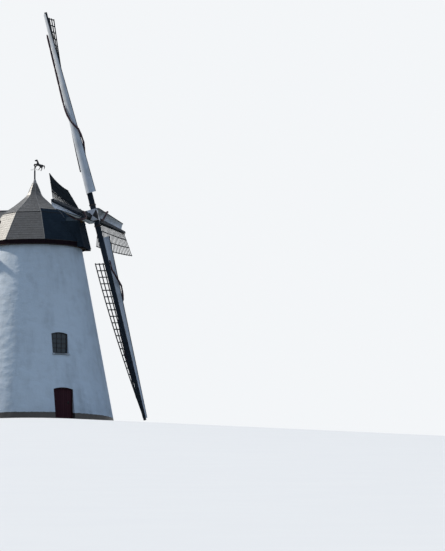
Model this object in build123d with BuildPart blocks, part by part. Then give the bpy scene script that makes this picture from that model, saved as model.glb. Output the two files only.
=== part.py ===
"""Round white tower mill: octagonal turning cap, four twisted sails, tail gear, horse vane.

Lengths are millimetres. The ground is z = 0, the tower stands on the origin and its
door faces -Y. Everything on the cap is drawn with the windshaft pointing to -Y, then
turned by cap_heading. Sail pieces are drawn upright in the sail frame: Z runs out along
the stock, -X is the side that leads as the sails turn, -Y is the side that faces the wind.
"""

import os
from math import cos, radians, sin

from build123d import *

# Tower
base_radius = 4660
top_radius = 2750
tower_height = 10200
wall_base = 850
wall_top = 560
segment_count = 10
segment_arc = 360 / segment_count
floor_thickness = 60
upper_floor_top = 2950
upper_floor_thickness = 160

# Door and its opening
door_width = 1200
door_spring = 1750
door_rise = 100
door_set_back = 48.578
door_frame_depth = 100
door_frame_side = 55
door_leaf_thickness = 60
door_leaf_lap = 15
door_gap = 6
inner_reveal = 700
inner_head_rise = 60
pintle_radius = 11
knuckle_radius = 24
knuckle_length = 70
pin_clearance = 0.4
knuckle_gap = 6
hinge_heights = (380, 1480)

# Window and its opening
window_width = 1000
window_sill_z = 3840
window_spring = 4970
window_rise = 90
window_set_back = 42.49
window_frame_depth = 90
window_frame_side = 65
glass_thickness = 8
sill_thickness = 90

# Cap
cap_heading = 56
bearing_gap = 0.5
curb_height = 100
curb_inner = 2230
curb_outer = 2720
eave_rise = 290
eave_z = tower_height + eave_rise
skirt_radius = 2950
skirt_thickness = 60
roof_rises = (
    (0, 2990),
    (1710, 1860),
    (1960, 1530),
    (2170, 1220),
    (2420, 900),
    (2710, 565),
    (2850, 435),
    (2980, 362),
    (3230, 268),
    (3590, 105),
)
roof_profile = tuple((eave_z + rise, radius) for rise, radius in roof_rises)
roof_thickness = 130
roof_hollow_top = 5
extension_half_width = 1150
cheek_rise = 1210
ridge_rise = 1990
cheek_top = eave_z + cheek_rise
ridge_z = eave_z + ridge_rise
board_thickness = 90
wall_board = 60
rear_wall_out = 3300
sheer_half_gap = 775
sheer_width = 250
sheer_height = 300
apex_height = 230
pole_height = 520
vane_bottom = roof_profile[-1][0] + apex_height + pole_height
pole_radius = 45

# Sail frame
shaft_tilt = 13.5
hub_out = 3450
hub_rise = 1900
hub_z = tower_height + hub_rise
sail_angle = 2.8
wall_behind_hub = 779.365
neck_radius = 200
shaft_radius = 270
tail_radius = 140
neck_at = 1020
tail_at = 5000
shaft_end = 5250
poll_size = 660
poll_front = 300
poll_back = 400
poll_chamfer = 20
stock_width = 270
stock_depth = 300
stock_tip_width = 120
stock_tip_depth = 150
stock_front_at = -110
stock_back_at = 215
sail_radius = 12200
lattice_width = 1500
lattice_heel = 2900
bar_pitch = 390
bar_count = 24
bar_height = 55
bar_thickness = 36
lath_width = 60
lath_thickness = 30
twist_heel = 17
twist_tip = -7
nose_heel = 1300
nose_tip_margin = 150
nose_end = sail_radius - nose_tip_margin
nose_lead = 505
nose_reach_heel = 437
nose_reach_tip = 80
nose_bow_heel = 207
nose_bow_tip = 70
nose_lap_share = 0.3
nose_seat_gap = 0.3
nose_flats = 12
nose_thickness = 30
roll_radius = 70
cloth_gap = 0.35
back_slack = 10
edge_slack = 9
edge_turn = 90
cloth_route = (
    (2700, "stock", 0),
    (3300, "stock", 0),
    (4250, "edge", 0.95),
    (4700, "edge", 0.45),
    (5100, "back", 0.97),
    (5350, "back", 0.8),
    (5650, "back", 0.62),
    (6050, "back", 0.45),
    (6500, "back", 0.31),
    (7000, "back", 0.2),
    (9000, "back", 0.22),
    (10900, "back", 0.28),
)
clamp_thickness = 25
clamp_width = 90
clamp_at = 620

# Tail gear
tail_beam_half = 2400
tail_beam_size = 230
tail_pole_size = 260
tail_foot_reach = 1740
tail_foot_out = base_radius + tail_foot_reach
tail_foot_z = 1150


def outer_radius(z: float) -> float:
    """Radius of the outside of the tower at a height."""
    return base_radius + (top_radius - base_radius) * z / tower_height


def inner_radius(z: float) -> float:
    """Radius of the inside of the tower at a height."""
    base = base_radius - wall_base
    top = top_radius - wall_top
    return base + (top - base) * z / tower_height


def twist(s: float) -> float:
    """Angle in degrees by which the lattice leans back at a distance from the hub."""
    share = min(max((s - lattice_heel) / (sail_radius - lattice_heel), 0), 1)
    return twist_heel + (twist_tip - twist_heel) * share**1.6


def nose_share(s: float) -> float:
    """How far along the leading boards a distance from the hub lies, 0 to 1."""
    return min(max((s - nose_heel) / (nose_end - nose_heel), 0), 1)


def stock_size(s: float) -> tuple:
    """Width and depth of a stock at a distance from the hub."""
    share = min(max((s - poll_size / 2) / (sail_radius - poll_size / 2), 0), 1)
    width = stock_width + (stock_tip_width - stock_width) * share
    depth = stock_depth + (stock_tip_depth - stock_depth) * share
    return width, depth


def save(name: str, piece, place: Location = Location()) -> None:
    """Put a finished piece in its place, label it and write its STEP file."""
    placed = piece.moved(place)
    placed.label = name
    export_step(placed, f"parts/{name}.step")


def arched_outline(width: float, bottom: float, spring: float, rise: float) -> Sketch:
    """Draw a closed outline with upright sides and a segmental arch over them."""
    half = width / 2
    with BuildSketch() as outline:
        with BuildLine():
            Polyline((-half, spring), (-half, bottom), (half, bottom), (half, spring))
            ThreePointArc((-half, spring), (0, spring + rise), (half, spring))
        make_face()
    return outline.sketch_local


door_frame_face = door_set_back - outer_radius(door_spring + door_rise)
window_frame_face = window_set_back - outer_radius(window_spring + window_rise)
os.makedirs("parts", exist_ok=True)
cap_place = Location((0, 0, 0), (0, 0, cap_heading))
rotor_place = (
    cap_place
    * Location((0, -hub_out, hub_z))
    * Location((0, 0, 0), (-shaft_tilt, 0, 0))
)


# Tower wall
def wall_segment(start: float, low: float = 0) -> BuildPart:
    """Make one upright slice of the round, battered wall."""
    with BuildPart() as segment:
        with BuildSketch(Plane.XZ.rotated((0, 0, start))):
            with BuildLine():
                Polyline(
                    (inner_radius(low), low),
                    (outer_radius(low), low),
                    (top_radius, tower_height),
                    (top_radius - wall_top, tower_height),
                    close=True,
                )
            make_face()
        revolve(axis=Axis.Z, revolution_arc=segment_arc)
    return segment


door_start = -90 - segment_arc / 2
for index in range(1, segment_count):
    plain_segment = wall_segment(door_start + index * segment_arc)
    save(f"tower_wall_{index}", plain_segment.part)

with BuildPart() as door_opening:
    with BuildSketch(Plane.XZ):
        add(arched_outline(door_width, -10, door_spring, door_rise))
    extrude(amount=base_radius + 200)
    with BuildSketch(Plane.XZ):
        add(arched_outline(2 * inner_reveal, -10, door_spring + door_rise, inner_head_rise))
    extrude(amount=-door_frame_face - door_frame_depth)

with BuildPart() as window_opening:
    with BuildSketch(Plane.XZ):
        add(arched_outline(window_width, window_sill_z, window_spring, window_rise))
    extrude(amount=base_radius)
    with Locations((0, window_frame_face, window_sill_z)):
        Box(
            window_width + 60,
            base_radius,
            sill_thickness,
            align=(Align.CENTER, Align.MAX, Align.MAX),
        )

with BuildPart() as door_segment:
    add(wall_segment(door_start).part)
    add(door_opening.part, mode=Mode.SUBTRACT)
    add(window_opening.part, mode=Mode.SUBTRACT)

with BuildPart() as door_jamb_left:
    add(door_segment.part)
    with Locations((-base_radius / 2, -base_radius / 2, door_spring / 2)):
        Box(base_radius, base_radius * 2, door_spring, mode=Mode.INTERSECT)
with BuildPart() as door_jamb_right:
    add(door_segment.part)
    with Locations((base_radius / 2, -base_radius / 2, door_spring / 2)):
        Box(base_radius, base_radius * 2, door_spring, mode=Mode.INTERSECT)
with BuildPart() as wall_over_door:
    add(door_segment.part)
    split(bisect_by=Plane.XY.offset(door_spring), keep=Keep.TOP)

save("door_jamb_left", door_jamb_left.part)
save("door_jamb_right", door_jamb_right.part)
save("wall_over_door", wall_over_door.part)


# Floors
with BuildPart() as ground_floor:
    Cone(
        inner_radius(0),
        inner_radius(floor_thickness),
        floor_thickness,
        align=(Align.CENTER, Align.CENTER, Align.MIN),
    )
save("ground_floor", ground_floor.part)

with BuildPart() as upper_floor:
    with Locations((0, 0, upper_floor_top - upper_floor_thickness)):
        Cone(
            inner_radius(upper_floor_top - upper_floor_thickness),
            inner_radius(upper_floor_top),
            upper_floor_thickness,
            align=(Align.CENTER, Align.CENTER, Align.MIN),
        )
save("upper_floor", upper_floor.part)


# Door
frame_front = Plane.XZ.offset(-door_frame_face - door_frame_depth)
with BuildPart() as door_frame:
    with BuildSketch(frame_front):
        add(arched_outline(door_width, floor_thickness, door_spring, door_rise))
    extrude(amount=door_frame_depth)
    with BuildSketch(frame_front):
        add(
            arched_outline(
                door_width - 2 * door_frame_side,
                0,
                door_spring,
                door_rise - door_frame_side,
            )
        )
    extrude(amount=door_frame_depth, mode=Mode.SUBTRACT)
save("door_frame", door_frame.part)

with BuildPart() as door_threshold:
    with Locations((0, (door_frame_face - base_radius) / 2, floor_thickness / 2)):
        Box(door_width, base_radius + door_frame_face + 60, floor_thickness)
    with Locations((0, door_frame_face + door_frame_depth / 2, floor_thickness / 2)):
        Box(door_width, door_frame_depth, floor_thickness)
    with Locations((0, door_frame_face + 350, floor_thickness / 2)):
        Box(2 * inner_reveal, 500, floor_thickness)
    add(ground_floor.part, mode=Mode.SUBTRACT)
    add(door_segment.part, mode=Mode.SUBTRACT)
save("door_threshold", door_threshold.part)

leaf_face = door_frame_face + door_frame_depth + door_gap
leaf_half = door_width / 2 - door_frame_side + 2 * door_leaf_lap + 10
hinge_x = -leaf_half - 5
hinge_y = leaf_face + door_leaf_thickness + knuckle_radius + knuckle_gap
with BuildPart() as door_leaf:
    with BuildSketch(Plane.XZ.offset(-leaf_face - door_leaf_thickness)):
        add(
            arched_outline(
                2 * leaf_half,
                floor_thickness + door_gap,
                door_spring,
                door_rise - door_leaf_lap,
            )
        )
    extrude(amount=door_leaf_thickness)
save("door_leaf", door_leaf.part)

strap_length = 800
strap_height = 60
strap_thickness = 12
with BuildPart() as door_straps:
    for height in hinge_heights:
        with Locations((hinge_x, hinge_y, height)):
            Cylinder(knuckle_radius, knuckle_length)
        strap_y = leaf_face + door_leaf_thickness + strap_thickness / 2
        with Locations((hinge_x + strap_length / 2 + 8, strap_y, height)):
            Box(strap_length, strap_thickness, strap_height)
        with Locations((hinge_x, hinge_y, height)):
            Cylinder(pintle_radius + pin_clearance, 2 * knuckle_length, mode=Mode.SUBTRACT)
save("door_straps", door_straps.part)

bracket_height = 40
with BuildPart() as door_pintles:
    for height in hinge_heights:
        low = height - knuckle_length / 2 - bearing_gap - bracket_height
        with Locations((hinge_x, hinge_y, low)):
            Cylinder(
                pintle_radius,
                bracket_height + knuckle_length + 10,
                align=(Align.CENTER, Align.CENTER, Align.MIN),
            )
        with Locations((hinge_x, hinge_y, low + bracket_height / 2)):
            Cylinder(knuckle_radius, bracket_height)
        reach = inner_reveal + hinge_x
        with Locations((-inner_reveal + reach / 2, hinge_y, low + bracket_height / 2)):
            Box(reach, 1.6 * knuckle_radius, bracket_height)
save("door_pintles", door_pintles.part)


# Window
window_plane = Plane.XZ.offset(-window_frame_face - window_frame_depth)
with BuildPart() as window_frame:
    with BuildSketch(window_plane):
        add(arched_outline(window_width, window_sill_z, window_spring, window_rise))
    extrude(amount=window_frame_depth)
    with BuildSketch(window_plane):
        add(
            arched_outline(
                window_width - 2 * window_frame_side,
                window_sill_z + window_frame_side,
                window_spring - window_frame_side / 2,
                window_rise - window_frame_side / 2,
            )
        )
    extrude(amount=window_frame_depth, mode=Mode.SUBTRACT)
save("window_frame", window_frame.part)

with BuildPart() as window_glass:
    middle = -window_frame_face - window_frame_depth / 2 - glass_thickness / 2
    with BuildSketch(Plane.XZ.offset(middle)):
        add(
            arched_outline(
                window_width - 2 * window_frame_side,
                window_sill_z + window_frame_side,
                window_spring - window_frame_side / 2,
                window_rise - window_frame_side / 2,
            )
        )
    extrude(amount=glass_thickness)
save("window_glass", window_glass.part)

with BuildPart() as window_sill:
    sill_front = -outer_radius(window_sill_z) - 60
    with Locations((0, sill_front, window_sill_z)):
        Box(
            window_width + 60,
            window_frame_face - sill_front,
            sill_thickness,
            align=(Align.CENTER, Align.MIN, Align.MAX),
        )
save("window_sill", window_sill.part)


# Curb and cap frame
def ring(outer: float, inner: float, low: float, high: float) -> BuildPart:
    """Make a plain upright ring."""
    with BuildPart() as hoop:
        with BuildSketch(Plane.XY.offset(low)):
            Circle(outer)
            Circle(inner, mode=Mode.SUBTRACT)
        extrude(amount=high - low)
    return hoop


curb_ring = ring(curb_outer, curb_inner, tower_height, tower_height + curb_height)
save("curb_ring", curb_ring.part)

ring_low = tower_height + curb_height + bearing_gap
cap_ring = ring(skirt_radius - skirt_thickness, curb_inner, ring_low, eave_z)
save("cap_ring", cap_ring.part, cap_place)

curb_skirt = ring(skirt_radius, skirt_radius - skirt_thickness, tower_height, eave_z)
save("curb_skirt", curb_skirt.part, cap_place)


# Cap roof
def octagon_loft(profile, inset: float) -> BuildPart:
    """Join level octagons, each with a flat side facing front and back."""
    with BuildPart() as loft_part:
        for height, radius in profile:
            with BuildSketch(Plane.XY.offset(height)):
                RegularPolygon(radius - inset, 8, rotation=22.5)
        loft(ruled=True)
    return loft_part


def extension_section(inset: float, low: float) -> Sketch:
    """Draw the five-sided outline of a cap extension, upright sides under a gable."""
    half = extension_half_width - inset
    with BuildSketch() as section:
        with BuildLine():
            Polyline(
                (-half, low),
                (half, low),
                (half, cheek_top - inset / 3),
                (0, ridge_z - inset * 1.35),
                (-half, cheek_top - inset / 3),
                close=True,
            )
        make_face()
    return section.sketch_local


lean = radians(shaft_tilt)
front_plane = hub_out * cos(lean) + hub_z * sin(lean) - wall_behind_hub
front_wall_plane = Plane(
    origin=(0, -front_plane * cos(lean), front_plane * sin(lean)),
    x_dir=(1, 0, 0),
    z_dir=(0, -cos(lean), sin(lean)),
)
outer_roof = octagon_loft(roof_profile, 0)
inner_roof = octagon_loft(roof_profile[: roof_hollow_top + 1], roof_thickness)


def extension_solid(inset: float, back: float, front: float, low: float) -> BuildPart:
    """Make a full block of the extension's outline between two distances out to -Y."""
    with BuildPart() as block:
        with BuildSketch(Plane.XZ.offset(back)):
            add(extension_section(inset, low))
        extrude(amount=front - back)
    return block


extension_root = 300
extension_reach = hub_out + 550
bearing_clear = 2000
front_block = extension_solid(0, extension_root, extension_reach, tower_height)
rear_block = extension_solid(0, -rear_wall_out, -extension_root, eave_z)

with BuildPart() as roof_shell:
    add(outer_roof.part)
    add(inner_roof.part, mode=Mode.SUBTRACT)
    add(front_block.part, mode=Mode.SUBTRACT)
    add(rear_block.part, mode=Mode.SUBTRACT)
save("roof_shell", roof_shell.part, cap_place)

with BuildPart() as front_extension:
    add(front_block.part)
    hollow = extension_solid(board_thickness, 0, extension_reach + 100, tower_height - 100)
    add(hollow.part, mode=Mode.SUBTRACT)
    add(outer_roof.part, mode=Mode.SUBTRACT)
    with Locations((0, 0, tower_height)):
        Cylinder(
            skirt_radius,
            eave_z - tower_height,
            align=(Align.CENTER, Align.CENTER, Align.MIN),
            mode=Mode.SUBTRACT,
        )
    split(bisect_by=front_wall_plane, keep=Keep.BOTTOM)
save("front_extension", front_extension.part, cap_place)

with BuildPart() as rear_extension:
    add(rear_block.part)
    inner = extension_solid(board_thickness, -rear_wall_out - 100, 0, eave_z - 100)
    add(inner.part, mode=Mode.SUBTRACT)
    add(outer_roof.part, mode=Mode.SUBTRACT)
save("rear_extension", rear_extension.part, cap_place)

shaft_frame = Location((0, -hub_out, hub_z)) * Location((0, 0, 0), (-shaft_tilt, 0, 0))
shaft_plane = Plane(shaft_frame * Location((0, 0, 0), (90, 0, 0)))
with BuildPart() as front_wall:
    add(extension_solid(board_thickness, bearing_clear, extension_reach, tower_height).part)
    split(bisect_by=front_wall_plane, keep=Keep.BOTTOM)
    split(bisect_by=front_wall_plane.offset(-wall_board), keep=Keep.TOP)
    with BuildSketch(shaft_plane.offset(0)):
        Circle(neck_radius + 25)
    extrude(amount=2000, both=True, mode=Mode.SUBTRACT)
save("front_wall", front_wall.part, cap_place)

with BuildPart() as rear_wall:
    with BuildSketch(Plane.XZ.offset(-rear_wall_out)):
        add(extension_section(board_thickness, eave_z + sheer_height))
    extrude(amount=wall_board)
save("rear_wall", rear_wall.part, cap_place)

with BuildPart() as sheers:
    for side in (-1, 1):
        with Locations((side * (sheer_half_gap + sheer_width / 2), 0, eave_z)):
            Box(
                sheer_width,
                2 * rear_wall_out,
                sheer_height,
                align=(Align.CENTER, Align.CENTER, Align.MIN),
            )
    split(bisect_by=front_wall_plane.offset(-wall_board), keep=Keep.BOTTOM)
save("sheers", sheers.part, cap_place)


# Windshaft and what carries it
def along_shaft(distance: float) -> Plane:
    """Give the plane square to the shaft at a distance in front of the hub, in its frame."""
    return Plane(origin=(0, -distance, 0), x_dir=(1, 0, 0), z_dir=(0, -1, 0))


beam_size = 300
bearing_height = 60
with BuildPart() as weather_beam:
    with Locations((0, neck_at, -neck_radius - bearing_height)):
        Box(
            2 * (sheer_half_gap + sheer_width),
            beam_size,
            beam_size,
            align=(Align.CENTER, Align.CENTER, Align.MAX),
        )
save("weather_beam", weather_beam.part, rotor_place)

with BuildPart() as neck_bearing:
    with Locations((0, neck_at, -neck_radius - bearing_height)):
        Box(
            480,
            220,
            bearing_height + 100,
            align=(Align.CENTER, Align.CENTER, Align.MIN),
        )
    with BuildSketch(along_shaft(-neck_at)):
        Circle(neck_radius + pin_clearance)
    extrude(amount=200, both=True, mode=Mode.SUBTRACT)
save("neck_bearing", neck_bearing.part, rotor_place)

with BuildPart() as weather_posts:
    post_out = hub_out - neck_at * cos(lean)
    for side in (-1, 1):
        x = side * (sheer_half_gap + sheer_width / 2)
        with Locations((x, -post_out - 80, eave_z + sheer_height)):
            Box(sheer_width - 30, 240, 700, align=(Align.CENTER, Align.CENTER, Align.MIN))
    beam_in_cap = weather_beam.part.moved(shaft_frame)
    add(beam_in_cap, mode=Mode.SUBTRACT)
    kept = [piece for piece in weather_posts.solids() if piece.center().Z < beam_in_cap.center().Z]
    add(kept, mode=Mode.REPLACE)
save("weather_posts", weather_posts.part, cap_place)

tail_y = -(hub_out - tail_at * cos(lean))
tail_axis_z = hub_z - tail_at * sin(lean)
with BuildPart() as tail_beam:
    with Locations((0, tail_y, eave_z)):
        Box(
            2 * sheer_half_gap,
            300,
            tail_axis_z - tail_radius - 90 - eave_z,
            align=(Align.CENTER, Align.CENTER, Align.MIN),
        )
save("tail_beam", tail_beam.part, cap_place)

with BuildPart() as tail_bearing:
    with Locations((0, tail_y, tail_axis_z - tail_radius - 90)):
        Box(400, 200, 90 + tail_radius, align=(Align.CENTER, Align.CENTER, Align.MIN))
    tail_plane = Plane(shaft_frame * Location((0, 0, 0), (90, 0, 0)))
    with BuildSketch(tail_plane.offset(-tail_at - 300)):
        Circle(tail_radius + pin_clearance)
    extrude(amount=600, mode=Mode.SUBTRACT)
save("tail_bearing", tail_bearing.part, cap_place)

with BuildPart() as windshaft:
    with BuildSketch(along_shaft(-poll_back)):
        Circle(neck_radius)
    extrude(amount=-(neck_at + 150 - poll_back))
    with BuildSketch(along_shaft(-neck_at - 150)):
        RegularPolygon(shaft_radius, 8, rotation=22.5)
    extrude(amount=-(tail_at - 250 - neck_at - 150))
    with BuildSketch(along_shaft(-tail_at + 250)):
        Circle(tail_radius)
    extrude(amount=-(shaft_end - tail_at + 250))
save("windshaft", windshaft.part, rotor_place)


# Poll end and stocks
def stock(offset: float, turn: float) -> BuildPart:
    """Make a tapered stock that runs through the hub, its centre line set back by offset."""
    with BuildPart() as beam:
        for s in (-sail_radius, -poll_size / 2, poll_size / 2, sail_radius):
            width, depth = stock_size(abs(s))
            with BuildSketch(Plane.XY.offset(s)):
                Rectangle(width, depth)
        loft(ruled=True)
    with BuildPart() as turned:
        add(beam.part.moved(Location((0, offset, 0), (0, turn, 0))))
    return turned


stock_a = stock(stock_front_at, -sail_angle)
stock_b = stock(stock_back_at, -sail_angle - 90)
save("stock_a", stock_a.part, rotor_place)
save("stock_b", stock_b.part, rotor_place)

with BuildPart() as poll_end:
    with BuildSketch(along_shaft(poll_front)):
        with Locations(Location((0, 0, 0), (0, 0, -sail_angle))):
            Rectangle(poll_size, poll_size)
    extrude(amount=-poll_front - poll_back)
    chamfer(poll_end.edges().group_by(Axis.Y)[0], poll_chamfer)
    add(stock_a.part, mode=Mode.SUBTRACT)
    add(stock_b.part, mode=Mode.SUBTRACT)
save("poll_end", poll_end.part, rotor_place)

with BuildPart() as stock_clamps:
    for offset, turn in ((stock_front_at, 0), (stock_back_at, 90)):
        for side in (-1, 1):
            width, depth = stock_size(clamp_at)
            arm = Location((0, offset, 0), (0, -sail_angle - turn, 0))
            with Locations(arm * Location((0, 0, side * clamp_at))):
                Box(width + 2 * clamp_thickness, depth + 2 * clamp_thickness, clamp_width)
    add(stock_a.part, mode=Mode.SUBTRACT)
    add(stock_b.part, mode=Mode.SUBTRACT)
save("stock_clamps", stock_clamps.part, rotor_place)


# Sail lattices, leading boards and furled cloths
def lattice_plane(s: float, t: float) -> Plane:
    """Give a level plane on the twisted lattice: x runs back along the bar."""
    angle = radians(twist(s))
    direction = Vector(cos(angle), sin(angle), 0)
    return Plane(origin=direction * t + Vector(0, 0, s), x_dir=direction, z_dir=(0, 0, 1))


def sail_lattice() -> BuildPart:
    """Make one trailing lattice in the sail frame, its bars and long laths fused."""
    last = lattice_heel + (bar_count - 1) * bar_pitch
    with BuildPart() as lattice:
        for row in range(1, 4):
            t = lattice_width * row / 3
            for step in range(9):
                s = lattice_heel - 60 + (last - lattice_heel + 120) * step / 8
                with BuildSketch(lattice_plane(s, t)):
                    Rectangle(lath_thickness, lath_width)
            loft(ruled=True)
        for index in range(bar_count):
            s = lattice_heel + index * bar_pitch
            with Locations(lattice_plane(s, 0).location):
                Box(
                    lattice_width + 40,
                    bar_thickness,
                    bar_height,
                    align=(Align.MIN, Align.CENTER, Align.CENTER),
                )
    return lattice


def nose_arc(s: float) -> tuple:
    """Give centre, inner radius and end directions of the leading board's hollow curve."""
    width, depth = stock_size(s)
    start = Vector(-width / 2 * (1 - nose_lap_share), depth / 2 + nose_seat_gap)
    reach = nose_reach_heel + (nose_reach_tip - nose_reach_heel) * nose_share(s)
    bow = nose_bow_heel + (nose_bow_tip - nose_bow_heel) * nose_share(s)
    end = Vector(-nose_lead, -reach)
    chord = end - start
    outward = Vector(chord.Y, -chord.X).normalized()
    radius = (chord.length**2 / 4 + bow**2) / (2 * bow)
    centre = (start + end) / 2 - outward * (radius - bow)
    return centre, radius, (start - centre).normalized(), (end - centre).normalized()


def nose_direction(s: float, share: float) -> Vector:
    """Give the direction from the curve's centre at a share of the way to the edge."""
    first, last = nose_arc(s)[2:]
    return first.rotate(Axis.Z, share * first.get_signed_angle(last, Vector(0, 0, 1)))


def nose_point(s: float, share: float, out: float) -> Vector:
    """Give a point out from the hollow curve, at a share of the way to the leading edge."""
    centre, radius = nose_arc(s)[:2]
    return centre + nose_direction(s, share) * (radius + out)


def leading_boards() -> BuildPart:
    """Make one curved leading board in the sail frame from flats, hollow side to the front."""
    with BuildPart() as board:
        for s in (nose_heel, (nose_heel + nose_end) / 2, nose_end):
            shares = [step / nose_flats for step in range(nose_flats + 1)]
            inner = [nose_point(s, share, 0) for share in shares]
            outer = [nose_point(s, share, nose_thickness) for share in reversed(shares)]
            with BuildSketch(Plane.XY.offset(s)):
                with BuildLine():
                    Polyline(*inner, *outer, close=True)
                make_face()
        loft(ruled=True)
    return board


def roll_centre(s: float, route: str, share: float) -> Vector:
    """Give the middle of the furled cloth where it follows the stock, the edge or the back."""
    if route == "stock":
        return Vector(0, -stock_size(s)[1] / 2 - roll_radius - cloth_gap)
    if route == "edge":
        rim = nose_point(s, 1, nose_thickness / 2)
        away = nose_direction(s, 1).rotate(Axis.Z, edge_turn * share)
        return rim + away * (roll_radius + nose_thickness / 2 + edge_slack)
    return nose_point(s, share, nose_thickness + roll_radius + cloth_gap + back_slack)


def furled_cloth() -> BuildPart:
    """Make one rolled sail cloth that crosses from the stock to the back of the boards."""
    with BuildPart() as roll:
        for s, route, share in cloth_route:
            point = roll_centre(s, route, share)
            end_station = s in (cloth_route[0][0], cloth_route[-1][0])
            radius = roll_radius * (0.8 if end_station else 1)
            with BuildSketch(Plane.XY.offset(s)):
                with Locations((point.X, point.Y)):
                    RegularPolygon(radius, 8)
        loft(ruled=True)
    return roll


def four_sails(piece: BuildPart, trimmed: bool = False) -> BuildPart:
    """Put a sail piece on each of the four arms, trimmed to the stocks if it meets them."""
    with BuildPart() as sails:
        for arm in range(4):
            offset = stock_front_at if arm % 2 == 0 else stock_back_at
            turn = -sail_angle - 90 * arm
            add(piece.part.moved(Location((0, offset, 0), (0, turn, 0))))
        if trimmed:
            add(stock_a.part, mode=Mode.SUBTRACT)
            add(stock_b.part, mode=Mode.SUBTRACT)
    return sails


sail_lattices = four_sails(sail_lattice(), trimmed=True)
save("sail_lattices", sail_lattices.part, rotor_place)
leading_board_set = four_sails(leading_boards())
save("leading_boards", leading_board_set.part, rotor_place)
furled_cloths = four_sails(furled_cloth())
save("furled_cloths", furled_cloths.part, rotor_place)


# Tail gear
cross_z = eave_z + sheer_height / 2
with BuildPart() as tail_cross_beam:
    with Locations((0, rear_wall_out + tail_beam_size / 2, cross_z)):
        Box(2 * tail_beam_half, tail_beam_size, tail_beam_size)
save("tail_cross_beam", tail_cross_beam.part, cap_place)


def bar_between(start: Vector, end: Vector, size: float) -> BuildPart:
    """Make a square timber between two points."""
    with BuildPart() as timber:
        with BuildSketch(Plane(origin=start, z_dir=end - start)):
            Rectangle(size, size)
        extrude(amount=(end - start).length)
    return timber


tail_top = Vector(0, rear_wall_out + tail_beam_size / 2, cross_z - tail_beam_size / 2)
tail_foot = Vector(0, tail_foot_out, tail_foot_z)
with BuildPart() as tail_pole:
    add(bar_between(tail_top, tail_foot, tail_pole_size).part)
    add(tail_cross_beam.part, mode=Mode.SUBTRACT)
save("tail_pole", tail_pole.part, cap_place)

with BuildPart() as tail_braces:
    for side in (-1, 1):
        top = Vector(side * (tail_beam_half - 150), rear_wall_out + tail_beam_size / 2, cross_z)
        foot = tail_top + (tail_foot - tail_top) * 0.86
        add(bar_between(top, foot, 130).part)
    add(tail_cross_beam.part, mode=Mode.SUBTRACT)
    add(tail_pole.part, mode=Mode.SUBTRACT)
save("tail_braces", tail_braces.part, cap_place)


# Apex and vane
with BuildPart() as apex_cap:
    with BuildSketch(Plane.XY.offset(roof_profile[-1][0])):
        RegularPolygon(roof_profile[-1][1] + 25, 8, rotation=22.5)
    with BuildSketch(Plane.XY.offset(roof_profile[-1][0] + apex_height)):
        RegularPolygon(pole_radius + 12, 8, rotation=22.5)
    loft(ruled=True)
save("apex_cap", apex_cap.part, cap_place)

vane_pin = 14
vane_socket = 310
pole_low = roof_profile[-1][0] + apex_height
with BuildPart() as finial_pole:
    with BuildSketch(Plane.XY.offset(pole_low)):
        Circle(pole_radius)
    extrude(amount=vane_bottom - bearing_gap - pole_low)
    with BuildSketch(Plane.XY.offset(pole_low)):
        Circle(vane_pin)
    extrude(amount=vane_bottom + vane_socket - 15 - pole_low)
save("finial_pole", finial_pole.part, cap_place)

vane_plate = 12
horse_slope = -20
horse_ahead = 160
horse_lift = vane_bottom + 20
horse = (
    (-345, 470), (-335, 505), (-272, 545), (-248, 602), (-224, 562), (-165, 525), (-105, 458),
    (-55, 398), (20, 372), (100, 378), (165, 398), (215, 372), (262, 396), (312, 372),
    (346, 300), (350, 205), (326, 150), (314, 232), (288, 300), (256, 318), (226, 286),
    (214, 222), (240, 150), (216, 84), (226, 24), (172, 20), (180, 84), (190, 142),
    (150, 186), (112, 176), (82, 92), (88, 24), (34, 20), (44, 92), (68, 184), (36, 234),
    (-84, 236), (-146, 162), (-128, 86), (-176, 64), (-192, 110), (-234, 160), (-202, 200),
    (-166, 236), (-250, 236), (-256, 162), (-302, 156), (-312, 230), (-306, 286), (-250, 300),
    (-186, 322), (-190, 400), (-214, 452), (-268, 438), (-322, 440),
)
with BuildPart() as horse_vane:
    with BuildSketch(Plane.XY.offset(vane_bottom)):
        Circle(vane_pin + 14)
        Circle(vane_pin + pin_clearance, mode=Mode.SUBTRACT)
    extrude(amount=vane_socket + 30)
    with BuildSketch(Plane.XZ.offset(-vane_plate / 2)):
        with BuildLine():
            Polyline([(x, z) for x, z in horse], close=True)
        outline = make_face()
        turned = outline.rotate(Axis.Z, horse_slope).moved(Location((horse_ahead, horse_lift)))
        add(turned, mode=Mode.REPLACE)
    extrude(amount=vane_plate)
    with Locations((0, 0, vane_bottom)):
        Cylinder(
            vane_pin + pin_clearance,
            vane_socket,
            align=(Align.CENTER, Align.CENTER, Align.MIN),
            mode=Mode.SUBTRACT,
        )
save("horse_vane", horse_vane.part, Location((0, 0, 0), (0, 0, -25)))
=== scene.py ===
"""Dress the round tower mill for rendering: finishes, slates, boards, cloth, light and camera.

Lengths are metres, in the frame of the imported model: the tower stands on the origin, its
door faces -Y, and the cap is turned so that the windshaft points 56 degrees round to +X.
"""

from __future__ import annotations

import logging
import math
from dataclasses import dataclass, field
from enum import Enum
from typing import Callable, Sequence

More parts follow.
